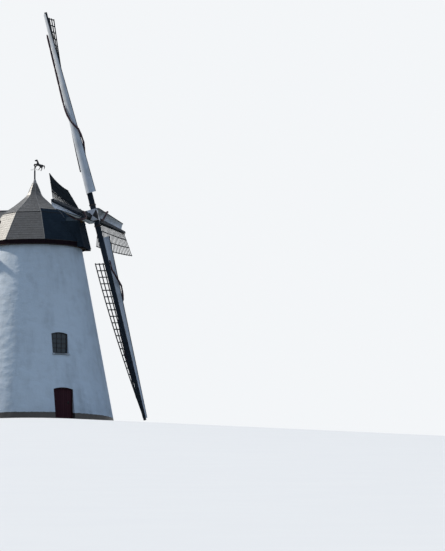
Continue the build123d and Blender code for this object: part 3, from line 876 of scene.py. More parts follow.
@dataclass
class Tower:
    """The masonry, its door, its window and its floors."""

    finishes: Finishes
    window_width: float = 1.0
    window_side: float = 0.065
    window_face: float = -3.67
    window_low: float = 3.84
    window_high: float = 5.06
    bar: float = 0.024
    bar_depth: float = 0.03
    bar_before_face: float = 0.03
    head_inset: float = 0.104
    upright_extra: float = 0.03
    leaf_front: float = -4.159
    handle_x: float = 0.36
    handle_height: float = 0.98
    handle_radius: float = 0.045
    handle_gap: float = 0.016
    handle_rod: float = 0.006
    plate_heights: tuple[float, float] = (0.93, 1.09)
    plate_size: tuple[float, float] = (0.07, 0.008)
    nail_heights: tuple[float, ...] = (0.38, 1.48, 0.93)
    nail_reach: float = 0.49
    nail_gap: float = 0.012
    nails_across: int = 8

    def dress_nodes(self) -> None:
        """Give the carried-over solids their finishes."""
        walls = [f"tower_wall_{number}" for number in range(1, 10)]
        walls += ["door_jamb_left", "door_jamb_right", "wall_over_door"]
        finishes = {
            "ground_floor": "flags",
            "door_threshold": "flags",
            "upper_floor": "floor_boards",
            "door_frame": "door_frame",
            "door_leaf": "door",
            "door_straps": "iron",
            "door_pintles": "iron",
            "window_frame": "window_frame",
            "window_glass": "glass",
            "window_sill": "sill",
            "curb_ring": "oak",
        }
        for node in walls:
            dress(node, self.finishes["limewash"])
        for node, finish in finishes.items():
            dress(node, self.finishes[finish])

    def glazing_bars(self) -> None:
        """Lay two upright and three level bars in front of the glass."""
        inner = self.window_width / 2 - self.window_side
        low = self.window_low + self.window_side
        high = self.window_high - self.head_inset
        y = self.window_face + self.bar_before_face
        uprights = np.linspace(-inner, inner, 4)[1:-1]
        levels = np.linspace(low, high, 5)[1:-1]
        starts = [[x, y, low] for x in uprights] + [[-inner, y, z] for z in levels]
        top = high + self.upright_extra
        ends = [[x, y, top] for x in uprights] + [[inner, y, z] for z in levels]
        forward = np.array([0, 1, 0])
        corners = bar_blocks(np.array(starts), np.array(ends), self.bar, self.bar_depth, forward)
        finish = self.finishes["window_frame"]
        add_piece("glazing_bars", *block_mesh(corners), finish, Body.TOWER, "window_paint")

    def door_ironwork(self) -> None:
        """Make the ring handle, its plate and the rows of nail heads on the door boards."""
        turn = np.linspace(0, 2 * math.pi, 25)
        ring = np.stack(
            [
                self.handle_x + self.handle_radius * np.sin(turn),
                np.full_like(turn, self.leaf_front - self.handle_gap),
                self.handle_height + self.handle_radius * np.cos(turn),
            ],
            1,
        )
        plate_middle = self.leaf_front - self.plate_size[1] / 2
        low, high = (np.array([[self.handle_x, plate_middle, z]]) for z in self.plate_heights)
        plate = bar_blocks(low, high, *self.plate_size, np.array([0, 1, 0]))
        handle = tube(ring, self.handle_rod, 8, np.array([0.02, 1.0, 0.01]))
        meshes = [handle, block_mesh(plate)]
        x = np.linspace(-self.nail_reach, self.nail_reach, self.nails_across)
        for height in self.nail_heights:
            for offset in (-self.nail_gap, self.nail_gap):
                y, z = (np.full_like(x, value) for value in (self.leaf_front, height + offset))
                meshes.append(self.nail_heads(np.stack([x + offset * 2, y, z], 1)))
        finish = self.finishes["iron"]
        add_piece("door_ironwork", *join_meshes(meshes), finish, Body.DOOR, "iron", True)

    @staticmethod
    def nail_heads(places: Array) -> tuple[Array, Array]:
        """Make low cones, each a ring of points on the door and one point before it.

        Args:
            places: The middle of each nail head.

        Returns:
            The vertices and faces.
        """
        radius, rise, sides = 0.009, 0.006, 8
        turn = np.linspace(0, 2 * math.pi, sides, endpoint=False)
        rim = np.stack([np.cos(turn) * radius, np.zeros(sides), np.sin(turn) * radius], 1)
        shape = np.concatenate([rim, [[0, -rise, 0]]])
        points = (places[:, None] + shape[None]).reshape(-1, 3)
        fan = np.array([[side, (side + 1) % sides, sides] for side in range(sides)])
        faces = fan[None] + (sides + 1) * np.arange(len(places))[:, None, None]
        return points, faces.reshape(-1, 3)

    def build(self) -> None:
        """Build and dress everything on the tower and the door."""
        self.dress_nodes()
        self.glazing_bars()
        self.door_ironwork()


def dress(node: str, material: bpy.types.Material) -> None:
    """Give a carried-over solid one finish.

    Args:
        node: The solid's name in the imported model.
        material: Its finish.
    """
    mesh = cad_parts[node].data
    mesh.materials.clear()
    mesh.materials.append(material)


# Cap


@dataclass
class Cap:
    """The slated octagonal cap, its extensions, its skirt and its timber frame."""

    finishes: Finishes
    profile: Array = field(
        default_factory=lambda: np.array(
            [
                (10.49, 2.990),
                (12.20, 1.860),
                (12.45, 1.530),
                (12.66, 1.220),
                (12.91, 0.900),
                (13.20, 0.565),
                (13.34, 0.435),
                (13.47, 0.362),
                (13.72, 0.268),
                (14.08, 0.105),
            ]
        )
    )
    exposure: float = 0.17
    slate_length: float = 0.29
    slate_width: float = 0.21
    slate_thickness: float = 0.009
    board_length: float = 2.6
    narrowing: float = 0.25
    overhang: float = 0.02
    ridge_gap: float = 0.05
    joint: float = 0.002
    scatter: float = 0.006
    narrowest: float = 0.02
    lift: float = 0.020
    lift_scatter: float = 0.004
    front_faces: tuple[int, ...] = (7, 0, 1)
    face_seed: int = 20
    extension_seed: int = 60
    under_extensions: float = 0.5
    half_width: float = 1.15
    eave_reach: float = 0.02
    eave_drop: float = 0.016
    cheek_foot: float = 10.5
    cheek_top: float = 11.70
    ridge: float = 12.48
    front_plane: float = 5.400
    rear_out: float = 3.30
    end_overhang: float = 0.03
    valley_gap: float = 0.01
    front_gable_foot: float = 10.3
    rear_gable_foot: float = 10.8
    hip_foot: float = 10.47
    hip_radius: float = 0.022
    ridge_radius: float = 0.045
    ridge_start: float = 1.45
    front_ridge_end: float = 2.72
    strip_lift: float = 0.012
    boards_top: float = 12.46
    edge_board: tuple[float, float] = (0.16, 0.03)
    skirt_radius: float = 2.955
    hoops: tuple[tuple[float, float], ...] = ((10.215, 0.014), (10.475, 0.016))
    tail_top: tuple[float, float, float] = (0, 3.415, 10.525)
    tail_foot: tuple[float, float, float] = (0, 6.4, 1.15)
    strap_shares: tuple[float, ...] = (0.03, 0.84, 0.88, 0.985)
    strap_reach: float = 0.137
    strap_size: tuple[float, float] = (0.07, 0.012)

    def dress_nodes(self) -> None:
        """Give the carried-over solids their finishes."""
        finishes = {
            "roof_shell": "roof_boards",
            "front_extension": "tarred_boards",
            "rear_extension": "roof_boards",
            "front_wall": "front_boards",
            "rear_wall": "front_boards",
            "curb_skirt": "skirt",
            "cap_ring": "oak",
            "sheers": "oak",
            "weather_beam": "oak",
            "weather_posts": "oak",
            "neck_bearing": "iron",
            "tail_beam": "oak",
            "tail_bearing": "oak",
            "tail_cross_beam": "tarred",
            "tail_pole": "tarred",
            "tail_braces": "tarred",
            "apex_cap": "lead",
            "finial_pole": "tarred",
        }
        for node, finish in finishes.items():
            dress(node, self.finishes[finish])

    def lay_slates(
        self,
        line: Array,
        outward: Array,
        across: Array,
        low: Callable[[Array], Array],
        high: Callable[[Array], Array],
        seed: int,
        boards: bool = False,
    ) -> tuple[Array, Array]:
        """Lay lapped slates, or boards, in rows up a roof face.

        The face is a line carried across: a point is line(t) + x * across, t being the
        distance up the slope and x the distance across. Each slate is a thin block whose
        lower edge stands off the face and whose upper edge lies on it, cut at the face's
        two sides.

        Args:
            line: The slope's outline, from the eave up, as points.
            outward: The level direction that the face looks.
            across: The level direction along its rows.
            low: The left side of the face, as x for each height.
            high: The right side of the face, as x for each height.
            seed: Picks the scatter of widths and tones.
            boards: Lay boards that are much longer than slates.

        Returns:
            The corners of the blocks, and one tone for each.
        """
        random = np.random.default_rng(seed)
        steps = np.linalg.norm(np.diff(line, axis=0), axis=1)
        run = np.concatenate([[0], np.cumsum(steps)])
        rows = np.arange(-self.overhang, run[-1] - self.ridge_gap, self.exposure)
        blocks, tones = [], []

        def at(distance: float) -> tuple[Array, Array]:
            """Find a place on the slope.

            Args:
                distance: How far up the slope it lies.

            Returns:
                The point, and the direction square to the face there.
            """
            point = np.array([np.interp(distance, run, line[:, axis]) for axis in range(3)])
            index = int(np.clip(np.searchsorted(run, distance) - 1, 0, len(steps) - 1))
            slope = (line[index + 1] - line[index]) / steps[index]
            square = np.cross(across, slope)
            return point, square if square @ outward > 0 else -square

        for number, distance in enumerate(rows):
            foot, square_foot = at(max(distance, 0.0))
            head, square_head = at(min(distance + self.slate_length, run[-1]))
            foot_sides, head_sides = (
                (float(low(point[2])), float(high(point[2]))) for point in (foot, head)
            )
            width = self.slate_width * (1 - self.narrowing * distance / run[-1])
            width = self.board_length if boards else width
            start = foot_sides[0] - width * (0.5 if number % 2 else 1.0)
            count = int(math.ceil((foot_sides[1] - start) / width)) + 1
            edges = start + width * np.arange(count + 1)
            edges = edges + random.uniform(-self.scatter, self.scatter, count + 1)
            left, right = edges[:-1] + self.joint, edges[1:] - self.joint
            foot_left, foot_right = np.clip(left, *foot_sides), np.clip(right, *foot_sides)
            head_left, head_right = np.clip(left, *head_sides), np.clip(right, *head_sides)
            keep = (foot_right - foot_left) > self.narrowest
            slip = random.uniform(-self.scatter, self.scatter, count)
            lift = self.lift + random.uniform(0, self.lift_scatter, count)
            slope = head - foot
            slope = slope / np.linalg.norm(slope)

            def corner(x: Array, base: Array, square: Array, height: Array | float) -> Array:
                """Place one corner of every slate in the row."""
                shift = slip[:, None] * slope
                return base + x[:, None] * across + np.multiply.outer(height, square) + shift

            thick = np.full(count, self.slate_thickness)
            under = np.full(count, self.joint)
            block = np.stack(
                [
                    corner(foot_left, foot, square_foot, lift - thick),
                    corner(foot_right, foot, square_foot, lift - thick),
                    corner(head_right, head, square_head, under),
                    corner(head_left, head, square_head, under),
                    corner(foot_left, foot, square_foot, lift),
                    corner(foot_right, foot, square_foot, lift),
                    corner(head_right, head, square_head, under + thick),
                    corner(head_left, head, square_head, under + thick),
                ],
                1,
            )
            blocks.append(block[keep])
            tones.append(random.uniform(0, 1, count)[keep])
        return np.concatenate(blocks), np.concatenate(tones)

    def apothem(self, height: Array) -> Array:
        """Give the distance from the axis to the middle of a cap face at a height."""
        return np.interp(height, self.profile[:, 0], self.profile[:, 1]) * math.cos(math.pi / 8)

    def main_slates(self, boards: bool) -> tuple[Array, Array]:
        """Cover the eight faces: at each height a face is apothem * tan 22.5 either way.

        Args:
            boards: Lay long tarred boards on the low part of the three front faces,
                instead of the slates that cover all the rest.

        Returns:
            The corners of the blocks, and one tone for each.
        """
        blocks, tones = [], []
        for face in self.front_faces if boards else range(8):
            angle = math.pi / 4 * face - math.pi / 2
            outward = np.array([math.cos(angle), math.sin(angle), 0])
            across = np.array([-math.sin(angle), math.cos(angle), 0])
            line = self.apothem(self.profile[:, 0])[:, None] * outward
            line[:, 2] = self.profile[:, 0]

            def half(height: Array) -> Array:
                """Give half the face's width at a height."""
                return self.apothem(height) * math.tan(math.pi / 8)

            block, tone = self.lay_slates(
                line, outward, across, lambda z: -half(z), half, self.face_seed + face, boards
            )
            middle = block.mean(1)
            inside = self.half_width - np.abs(middle[:, 0])
            gable = self.cheek_top + inside * (self.ridge - self.cheek_top) / self.half_width
            hidden = (inside > 0) & (middle[:, 2] < gable)
            hidden &= np.abs(middle[:, 1]) > self.under_extensions
            low = middle[:, 2] < self.boards_top
            if face in self.front_faces:
                hidden |= ~low if boards else low
            blocks.append(block[~hidden])
            tones.append(tone[~hidden])
        return np.concatenate(blocks), np.concatenate(tones)

    def extension_end(self, z: Array | float, front: bool) -> Array | float:
        """Give how far out an extension ends: the front leans back as it rises.

        The front end is the plane out * cos tilt + z * sin tilt = front_plane, square to
        the windshaft, and the rear end is upright.

        Args:
            z: The height.
            front: The front extension or the rear one.

        Returns:
            The distance from the tower's axis.
        """
        if front:
            return (self.front_plane - z * math.sin(MILL.tilt)) / math.cos(MILL.tilt)
        return self.rear_out + 0 * z

    def extension_slates(self, front: bool) -> tuple[Array, Array]:
        """Cover the slopes and cheeks of an extension, from the cap out to its end.

        Args:
            front: The front extension, in tarred boards, or the rear one, in slates.

        Returns:
            The corners of the blocks, and one tone for each.
        """
        blocks, tones = [], []
        sign = -1.0 if front else 1.0

        def start(z: Array) -> Array:
            """Give where the cap's face stops, out from the axis."""
            return self.apothem(z) + self.valley_gap

        def stop(z: Array) -> Array:
            """Give where the slates end, out from the axis."""
            return self.extension_end(z, front) + self.end_overhang

        for side in (-1.0, 1.0):
            wall = side * self.half_width
            eave = side * (self.half_width + self.eave_reach)
            slope = np.array([(eave, 0, self.cheek_top - self.eave_drop), (0, 0, self.ridge)])
            cheek = np.array([(wall, 0, self.cheek_foot), (wall, 0, self.cheek_top)])
            for line in (slope, cheek):
                block, tone = self.lay_slates(
                    line,
                    np.array([side, 0, 0.2]),
                    np.array([0, sign, 0]),
                    start,
                    stop,
                    int(self.extension_seed + 7 * side + 3 * sign + len(blocks)),
                    front,
                )
                blocks.append(block)
                tones.append(tone)
        return np.concatenate(blocks), np.concatenate(tones)

    def slates(self) -> None:
        """Make the cap's slates as one piece and its tarred boards as another."""
        for name, finish, slot, boards in (
            ("cap_slates", "slate", "slate", False),
            ("cap_tarred_boards", "tarred_boards", "black_timber", True),
        ):
            parts = [self.main_slates(boards), self.extension_slates(boards)]
            blocks = np.concatenate([part[0] for part in parts])
            tones = np.concatenate([part[1] for part in parts])
            points, faces = block_mesh(MILL.cap().put(blocks.reshape(-1, 3)).reshape(-1, 8, 3))
            piece = add_piece(name, points, faces, self.finishes[finish], Body.CAP, slot)
            set_tone(piece, np.repeat(tones, 8))
            fix_normals(piece)

    def hip_strips(self) -> None:
        """Run a grey sheet roll down each hip and along both ridges, as thin tubes."""
        meshes = []
        heights = np.linspace(self.hip_foot, self.profile[-1, 0], 40)
        radii = np.interp(heights, self.profile[:, 0], self.profile[:, 1]) + self.strip_lift
        for hip in range(8):
            angle = math.pi / 4 * hip + math.pi / 8
            path = np.stack([radii * math.cos(angle), radii * math.sin(angle), heights], 1)
            level = np.array([-math.sin(angle), math.cos(angle), 0])
            meshes.append(tube(path, self.hip_radius, 8, level))
        for sign, end in ((-1.0, self.front_ridge_end), (1.0, self.rear_out + self.end_overhang)):
            outs = np.linspace(self.ridge_start, end, 12)
            path = np.array([[0, sign * out, self.ridge + self.strip_lift] for out in outs])
            meshes.append(tube(path, self.ridge_radius, 8, np.array([1.0, 0, 0])))
        points, faces = join_meshes(meshes)
        points = MILL.cap().put(points)
        finish = self.finishes["hip"]
        add_piece("hip_and_ridge_strips", points, faces, finish, Body.CAP, "lead_sheet", True)

    def gable_boards(self) -> None:
        """Nail edge boards along the gables and corner boards down the cheeks."""
        starts, ends = [], []
        for front in (True, False):
            for side in (-1.0, 1.0):
                wall = side * self.half_width
                low = self.front_gable_foot if front else self.rear_gable_foot
                points = []
                for x, z in ((wall, low), (wall, self.cheek_top), (0.0, self.ridge)):
                    out = self.extension_end(z, front) + self.edge_board[1] / 2
                    points.append((x, -out if front else out, z))
                starts += points[:2]
                ends += points[1:]
        cap = MILL.cap()
        normal = cap.put(np.array([0, 1.0, 0.2])) - cap.put(np.zeros(3))
        starts, ends = cap.put(np.array(starts)), cap.put(np.array(ends))
        points, faces = block_mesh(bar_blocks(starts, ends, *self.edge_board, normal))
        finish = self.finishes["front_boards"]
        fix_normals(add_piece("gable_boards", points, faces, finish, Body.CAP, "dark_timber"))

    def skirt_rings(self) -> None:
        """Bend one iron hoop round the skirt's foot and one round its top."""
        turn = np.linspace(0, 2 * math.pi, 121)
        x, y = self.skirt_radius * np.cos(turn), self.skirt_radius * np.sin(turn)
        meshes = []
        for height, size in self.hoops:
            path = np.stack([x, y, np.full_like(turn, height)], 1)
            meshes.append(tube(path, size, 6, np.array([0, 0, 1.0])))
        finish = self.finishes["iron"]
        add_piece("skirt_hoops", *join_meshes(meshes), finish, Body.CAP, "iron", True)

    def tail_straps(self) -> None:
        """Bind iron straps round the tail pole where the braces meet it."""
        top, foot = np.array(self.tail_top), np.array(self.tail_foot)
        along = (foot - top) / np.linalg.norm(foot - top)
        side = np.array([1.0, 0, 0])
        rise = np.cross(side, along)
        turns = ((1, 1), (1, -1), (-1, -1), (-1, 1))
        corners = np.array([self.strap_reach * (a * side + b * rise) for a, b in turns])
        cap = MILL.cap()
        meshes = []
        for share in self.strap_shares:
            ring = top + (foot - top) * share + corners
            ends = np.roll(ring, -1, axis=0)
            bars = bar_blocks(cap.put(ring), cap.put(ends), *self.strap_size, cap.put(corners))
            meshes.append(block_mesh(bars))
        finish = self.finishes["iron"]
        fix_normals(add_piece("tail_straps", *join_meshes(meshes), finish, Body.CAP, "iron"))

    def build(self) -> None:
        """Build and dress everything on the cap."""
        self.dress_nodes()
        self.slates()
        self.hip_strips()
        self.gable_boards()
        self.skirt_rings()
        self.tail_straps()


def fix_normals(piece: bpy.types.Object) -> None:
    """Turn every face of a closed mesh outwards.

    Args:
        piece: The piece whose mesh is turned.
    """
    work = bmesh.new()
    work.from_mesh(piece.data)
    bmesh.ops.recalc_face_normals(work, faces=work.faces)
    work.to_mesh(piece.data)
    work.free()


# Sails


@dataclass
class Sails:
    """The four twisted sails, their cloths, ropes, battens and ironwork.

    Distances along a sail are from the hub, and pairs of sizes are at its heel and its tip.
    """

    finishes: Finishes
    stock_root: float = 0.33
    stock_widths: tuple[float, float] = (0.27, 0.12)
    stock_depths: tuple[float, float] = (0.3, 0.15)
    nose_heel: float = 1.3
    nose_end: float = 12.05
    nose_lead: float = 0.505
    nose_thickness: float = 0.03
    nose_root_share: float = 0.7
    nose_seat_gap: float = 0.0003
    nose_rises: tuple[float, float] = (0.437, 0.08)
    nose_bows: tuple[float, float] = (0.207, 0.07)
    batten_radius: float = 0.021
    batten_inset: float = 0.02
    roll_radius: float = 0.07
    roll_turns: float = 4.6
    roll_core: float = 0.12
    roll_slack: float = 0.006
    tie_nip: float = 0.26
    tie_spread: float = 0.10
    end_taper: float = 0.25
    end_share: float = 0.62
    roll_turn: float = 0.9
    wrinkles: float = 0.05
    wrinkled_from: float = 0.7
    settled: float = 0.04
    cloth_low: float = 2.72
    cloth_high: float = 10.88
    cloth_gap: float = 0.010
    rim_gap: float = 0.009
    stock_gap: float = 0.001
    crossing: float = 3.3
    crossed: float = 4.25
    cloth_route: tuple[tuple[float, float], ...] = (
        (4.25, 1.95),
        (4.7, 1.45),
        (5.1, 0.97),
        (5.35, 0.8),
        (5.65, 0.62),
        (6.05, 0.45),
        (6.5, 0.31),
        (7.0, 0.2),
        (9.0, 0.22),
        (10.9, 0.28),
    )
    weave_span: tuple[float, float] = (7.6, 1.5)
    ties: tuple[float, ...] = (3.05, 4.45, 5.55, 6.7, 7.8, 8.9, 10.0)
    tie_rope: float = 0.008
    coil_radius: float = 0.053
    coil_climb: float = 0.012
    loop_rope: float = 0.007
    loop_slimness: float = 0.35
    loop_ahead: float = 0.02
    loop_wave: float = 0.01
    tip_loops: tuple[tuple[float, float, float], ...] = ((11.55, 0.16, 0.10), (10.75, 0.20, 0.13))
    bolt_radius: float = 0.022
    bolt_head: float = 0.016
    bolt_sunk: float = 0.002
    bolt_aside: float = 0.05
    bolt_run: tuple[float, float, float] = (2.9, 11.6, 1.17)
    clamp_bolt: float = 0.62
    clamp_thickness: float = 0.026

    def nose_point(self, s: Array, share: Array, out: Array) -> Array:
        """Give points on or behind the leading boards, in the sail's frame.

        At three sections the board's hollow side is a circular arc from the stock's back
        corner to the leading edge: centre + (radius + out) * (cos a, sin a), where a runs
        with the share. Between the sections the points go straight.

        Args:
            s: Distance from the hub.
            share: How far across the board, 0 at the stock and 1 at the leading edge.
            out: How far behind the board's hollow side.

        Returns:
            The points.
        """
        places = np.array([self.nose_heel, (self.nose_heel + self.nose_end) / 2, self.nose_end])
        found = []
        for place in places:
            part = (place - self.nose_heel) / (self.nose_end - self.nose_heel)
            width, depth = self.stock_size(place)
            rise, bow = (
                heel + (tip - heel) * part for heel, tip in (self.nose_rises, self.nose_bows)
            )
            start = np.array([-width / 2 * self.nose_root_share, depth / 2 + self.nose_seat_gap])
            end = np.array([-self.nose_lead, -rise])
            chord = end - start
            length = np.hypot(*chord)
            away = np.array([chord[1], -chord[0]]) / length
            radius = (length**2 / 4 + bow**2) / (2 * bow)
            centre = (start + end) / 2 - away * (radius - bow)
            first = math.atan2(*(start - centre)[::-1])
            turn = (math.atan2(*(end - centre)[::-1]) - first) % (2 * math.pi)
            angle = first + turn * share
            arms = np.stack([np.cos(angle), np.sin(angle)], -1)
            found.append(centre + (radius + out)[..., None] * arms)
        part = np.clip((s - places[0]) / (places[2] - places[0]), 0, 1)[..., None] * 2
        low = found[0] + (found[1] - found[0]) * np.minimum(part, 1)
        point = np.where(part > 1, found[1] + (found[2] - found[1]) * (part - 1), low)
        return np.concatenate([point, (s + 0 * share)[..., None]], -1)

    def stock_size(self, s: Array | float) -> tuple[Array, Array]:
        """Give the stock's width and depth at a distance from the hub, tapering evenly."""
        part = np.clip((s - self.stock_root) / (MILL.sail_radius - self.stock_root), 0, 1)
        width, depth = (
            root + (tip - root) * part for root, tip in (self.stock_widths, self.stock_depths)
        )
        return width, depth

    def stock_front(self, s: Array | float) -> Array:
        """Give the depth at which the stock's front face lies, in the sail's frame."""
        return -self.stock_size(s)[1] / 2

    def roll_path(self, s: Array) -> Array:
        """Give the furled cloth's centre line: along the stock, over the edge, down the back.

        Behind the boards the route is a share of their width; over the edge it goes on
        past 1 as a turn about the edge, 1 for each quarter turn.

        Args:
            s: Distance from the hub.

        Returns:
            The points, in the sail's frame.
        """
        stations, route = np.array(self.cloth_route).T
        share = np.interp(s, stations, route)
        one = np.ones_like(s)
        clear = self.nose_thickness + self.roll_radius + self.cloth_gap
        back = self.nose_point(s, np.minimum(share, 1), clear * one)
        rim = self.nose_point(s, one, self.nose_thickness / 2 * one)
        away = self.nose_point(s, one, (self.nose_thickness / 2 + 1) * one) - rim
        turn = np.maximum(share - 1, 0) * math.pi / 2
        reach = self.roll_radius + self.nose_thickness / 2 + self.rim_gap
        round_edge = rim.copy()
        round_edge[:, 0] += reach * (away[:, 0] * np.cos(turn) - away[:, 1] * np.sin(turn))
        round_edge[:, 1] += reach * (away[:, 0] * np.sin(turn) + away[:, 1] * np.cos(turn))
        path = np.where((share > 1)[:, None], round_edge, back)
        ahead = self.stock_front(s) - self.roll_radius - self.stock_gap
        front = np.stack([0 * s, ahead, s], -1)
        cross = np.clip((s - self.crossing) / (self.crossed - self.crossing), 0, 1)[:, None]
        return np.where(s[:, None] < self.crossed, front + (path - front) * cross, path)

    def furled_cloth(self, index: int) -> None:
        """Roll one canvas into a spiral along its path and tie it down.

        A point is path + r * (cos v * first + sin v * second), where v makes several
        turns, r grows steadily with v, and the outer radius is nipped in at each tie.

        Args:
            index: The sail, 0 to 3, as for MillLayout.arm.
        """
        rows, columns = 190, 88
        s = np.linspace(self.cloth_low, self.cloth_high, rows)
        v = np.linspace(0, 1, columns)
        path = self.roll_path(s)
        near_tie = np.exp(-(((s[:, None] - np.array(self.ties)) / self.tie_spread) ** 2)).sum(1)
        nip = 1 - self.tie_nip * near_tie
        from_end = np.minimum(s - self.cloth_low, self.cloth_high - s)
        full = np.sin(np.clip(from_end / self.end_taper, 0, 1) * math.pi / 2)
        taper = self.end_share + (1 - self.end_share) * full
        outer = (self.roll_radius - self.roll_slack) * nip * taper
        radius = outer[:, None] * (self.roll_core + (1 - self.roll_core) * v[None])
        wound = 2 * math.pi * self.roll_turns * v
        wave = np.sin(23 * s[:, None] + 9 * v[None] + index)
        wrinkle = self.wrinkles * wave * np.sin(wound[None] * 1.5)
        radius = radius * (1 - self.settled + wrinkle * (v[None] > self.wrinkled_from))
        first, second = path_frames(path, np.array([0.05, 1.0, 0.02]))
        angle = wound + self.roll_turn * index
        points = path[:, None] + radius[..., None] * spokes(angle, first, second)
        placed = MILL.arm(index).put(points.reshape(-1, 3))
        faces = grid_faces(rows, columns, False)
        name, finish = f"rolled_cloth_{index + 1}", self.finishes["canvas"]
        piece = add_piece(name, placed, faces, finish, Body.SAILS, "sail_cloth", True)
        layer = piece.data.uv_layers.new(name="cloth")
        loops = np.empty(len(piece.data.loops), np.int32)
        piece.data.loops.foreach_get("vertex_index", loops)
        u = loops // columns / (rows - 1) * self.weave_span[0]
        w = loops % columns / (columns - 1) * self.weave_span[1]
        layer.data.foreach_set("uv", np.stack([u, w], 1).ravel().astype(np.float32))
        if index == 0:
            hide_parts("furled_cloths")

    def tie_coil(self, place: float) -> Array:
        """Wind two turns of rope round the rolled cloth.

        A point is middle + radius * (cos v * first + sin v * second) + climb * slope, where
        the climb along the cloth grows evenly with v.

        Args:
            place: The tie's distance from the hub.

        Returns:
            The rope's centre line, in the sail's frame.
        """
        path = self.roll_path(np.linspace(place - 0.2, place + 0.2, 9))
        slope = path[5] - path[3]
        slope = slope / np.linalg.norm(slope)
        first = np.cross(slope, np.array([0.0, 1.0, 0.0]))
        first = first / np.linalg.norm(first)
        second = np.cross(slope, first)
        turn = np.linspace(0, 4 * math.pi, 33)
        climb = np.linspace(-self.coil_climb, self.coil_climb, 33)
        coil = np.cos(turn)[:, None] * first + np.sin(turn)[:, None] * second
        return path[4] + self.coil_radius * coil + climb[:, None] * slope

    def tip_loop(self, s: float, lateral: float, size: float) -> Array:
        """Bend a narrow, slightly waved loop of rope in front of the lattice.

        Args:
            s: The loop's distance from the hub.
            lateral: Its distance from the stock's middle, on the trailing side.
            size: Half its length.

        Returns:
            The rope's centre line, in the sail's frame.
        """
        turn = np.linspace(0, 2 * math.pi, 25)
        x = lateral + self.loop_slimness * size * np.sin(turn)
        y = self.stock_front(s) - self.loop_ahead + self.loop_wave * np.cos(turn * 3)
        return np.stack([x, y, s + size * np.cos(turn)], 1)

    def ropes(self) -> None:
        """Tie each cloth with short rope turns and leave two small loops near each tip."""
        meshes = []
        for arm in map(MILL.arm, range(4)):
            for place in self.ties:
                coil = arm.put(self.tie_coil(place))
                meshes.append(tube(coil, self.tie_rope, 6, np.asarray(arm.axes[2])))
            for loop in self.tip_loops:
                path = arm.put(self.tip_loop(*loop))
                meshes.append(tube(path, self.loop_rope, 6, np.asarray(arm.axes[1])))
        finish = self.finishes["rope"]
        add_piece("cloth_ropes", *join_meshes(meshes), finish, Body.SAILS, "sail_cloth", True)

    def edge_battens(self) -> None:
        """Run a dark round batten along each leading edge."""
        s = np.linspace(self.nose_heel + self.batten_inset, self.nose_end - self.batten_inset, 70)
        path = self.nose_point(s, np.ones_like(s), np.full_like(s, self.nose_thickness / 2))
        meshes = [
            tube(arm.put(path), self.batten_radius, 8, np.asarray(arm.axes[1]))
            for arm in map(MILL.arm, range(4))
        ]
        finish = self.finishes["lattice"]
        add_piece("edge_battens", *join_meshes(meshes), finish, Body.SAILS, "lattice_timber")

    def stock_bolts(self) -> None:
        """Set hexagonal bolt heads in pairs along the fronts of the stocks and the clamps."""
        places = [(self.clamp_bolt, self.clamp_thickness)]
        places += [(s, 0.0) for s in np.arange(*self.bolt_run)]
        meshes = []
        for arm in map(MILL.arm, range(4)):
            for s, thickness in places:
                front = self.stock_front(s) - thickness
                head, foot = front - self.bolt_head, front + self.bolt_sunk
                for x in (-self.bolt_aside, self.bolt_aside):
                    path = np.array([[x, head, s], [x, foot, s]])
                    out = np.asarray(arm.axes[2])
                    meshes.append(tube(arm.put(path), self.bolt_radius, 6, out))
        finish = self.finishes["iron"]
        add_piece("stock_bolts", *join_meshes(meshes), finish, Body.SAILS, "iron")

    def build(self) -> None:
        """Build and dress everything that spins."""
        finishes = {
            "windshaft": "oak",
            "poll_end": "poll",
            "stock_a": "tarred",
            "stock_b": "tarred",
            "stock_clamps": "iron",
            "leading_boards": "pale",
            "sail_lattices": "lattice",
        }
        for node, finish in finishes.items():
            dress(node, self.finishes[finish])
        for index in range(4):
            self.furled_cloth(index)
        self.ropes()
        self.edge_battens()
        self.stock_bolts()


@dataclass
class Vane:
    """The horse that turns on the spire."""

    finishes: Finishes
    bottom: float = 14.83
    heading: float = math.radians(-25)
    scroll_reach: float = 0.24
    scroll_height: float = 0.07
    scroll_wave: float = 0.05
    scroll_pace: float = 18.0
    scroll_radius: float = 0.009

    def scroll(self) -> None:
        """Bend a thin rod under the horse: its height is a cosine of the distance along it."""
        run = np.linspace(-self.scroll_reach, self.scroll_reach, 40)
        c, s = math.cos(self.heading), math.sin(self.heading)
        wave = self.scroll_wave * np.cos(run * self.scroll_pace)
        height = self.bottom + self.scroll_height + wave
        path = np.stack([run * c, run * s, height], 1)
        points, faces = tube(path, self.scroll_radius, 8, np.array([s, -c, 0.02]))
        finish = self.finishes["vane"]
        add_piece("vane_scroll", points, faces, finish, Body.VANE, "vane_paint", True)

    def build(self) -> None:
        """Build and dress the vane."""
        dress("horse_vane", self.finishes["vane"])
        self.scroll()


# Surroundings


@dataclass(frozen=True)
class Lamp:
    """A far lamp: where it stands, in degrees, and its light."""

    name: str
    beside_view: float
    height: float
    power: float
    colour: Colour
    softness: float


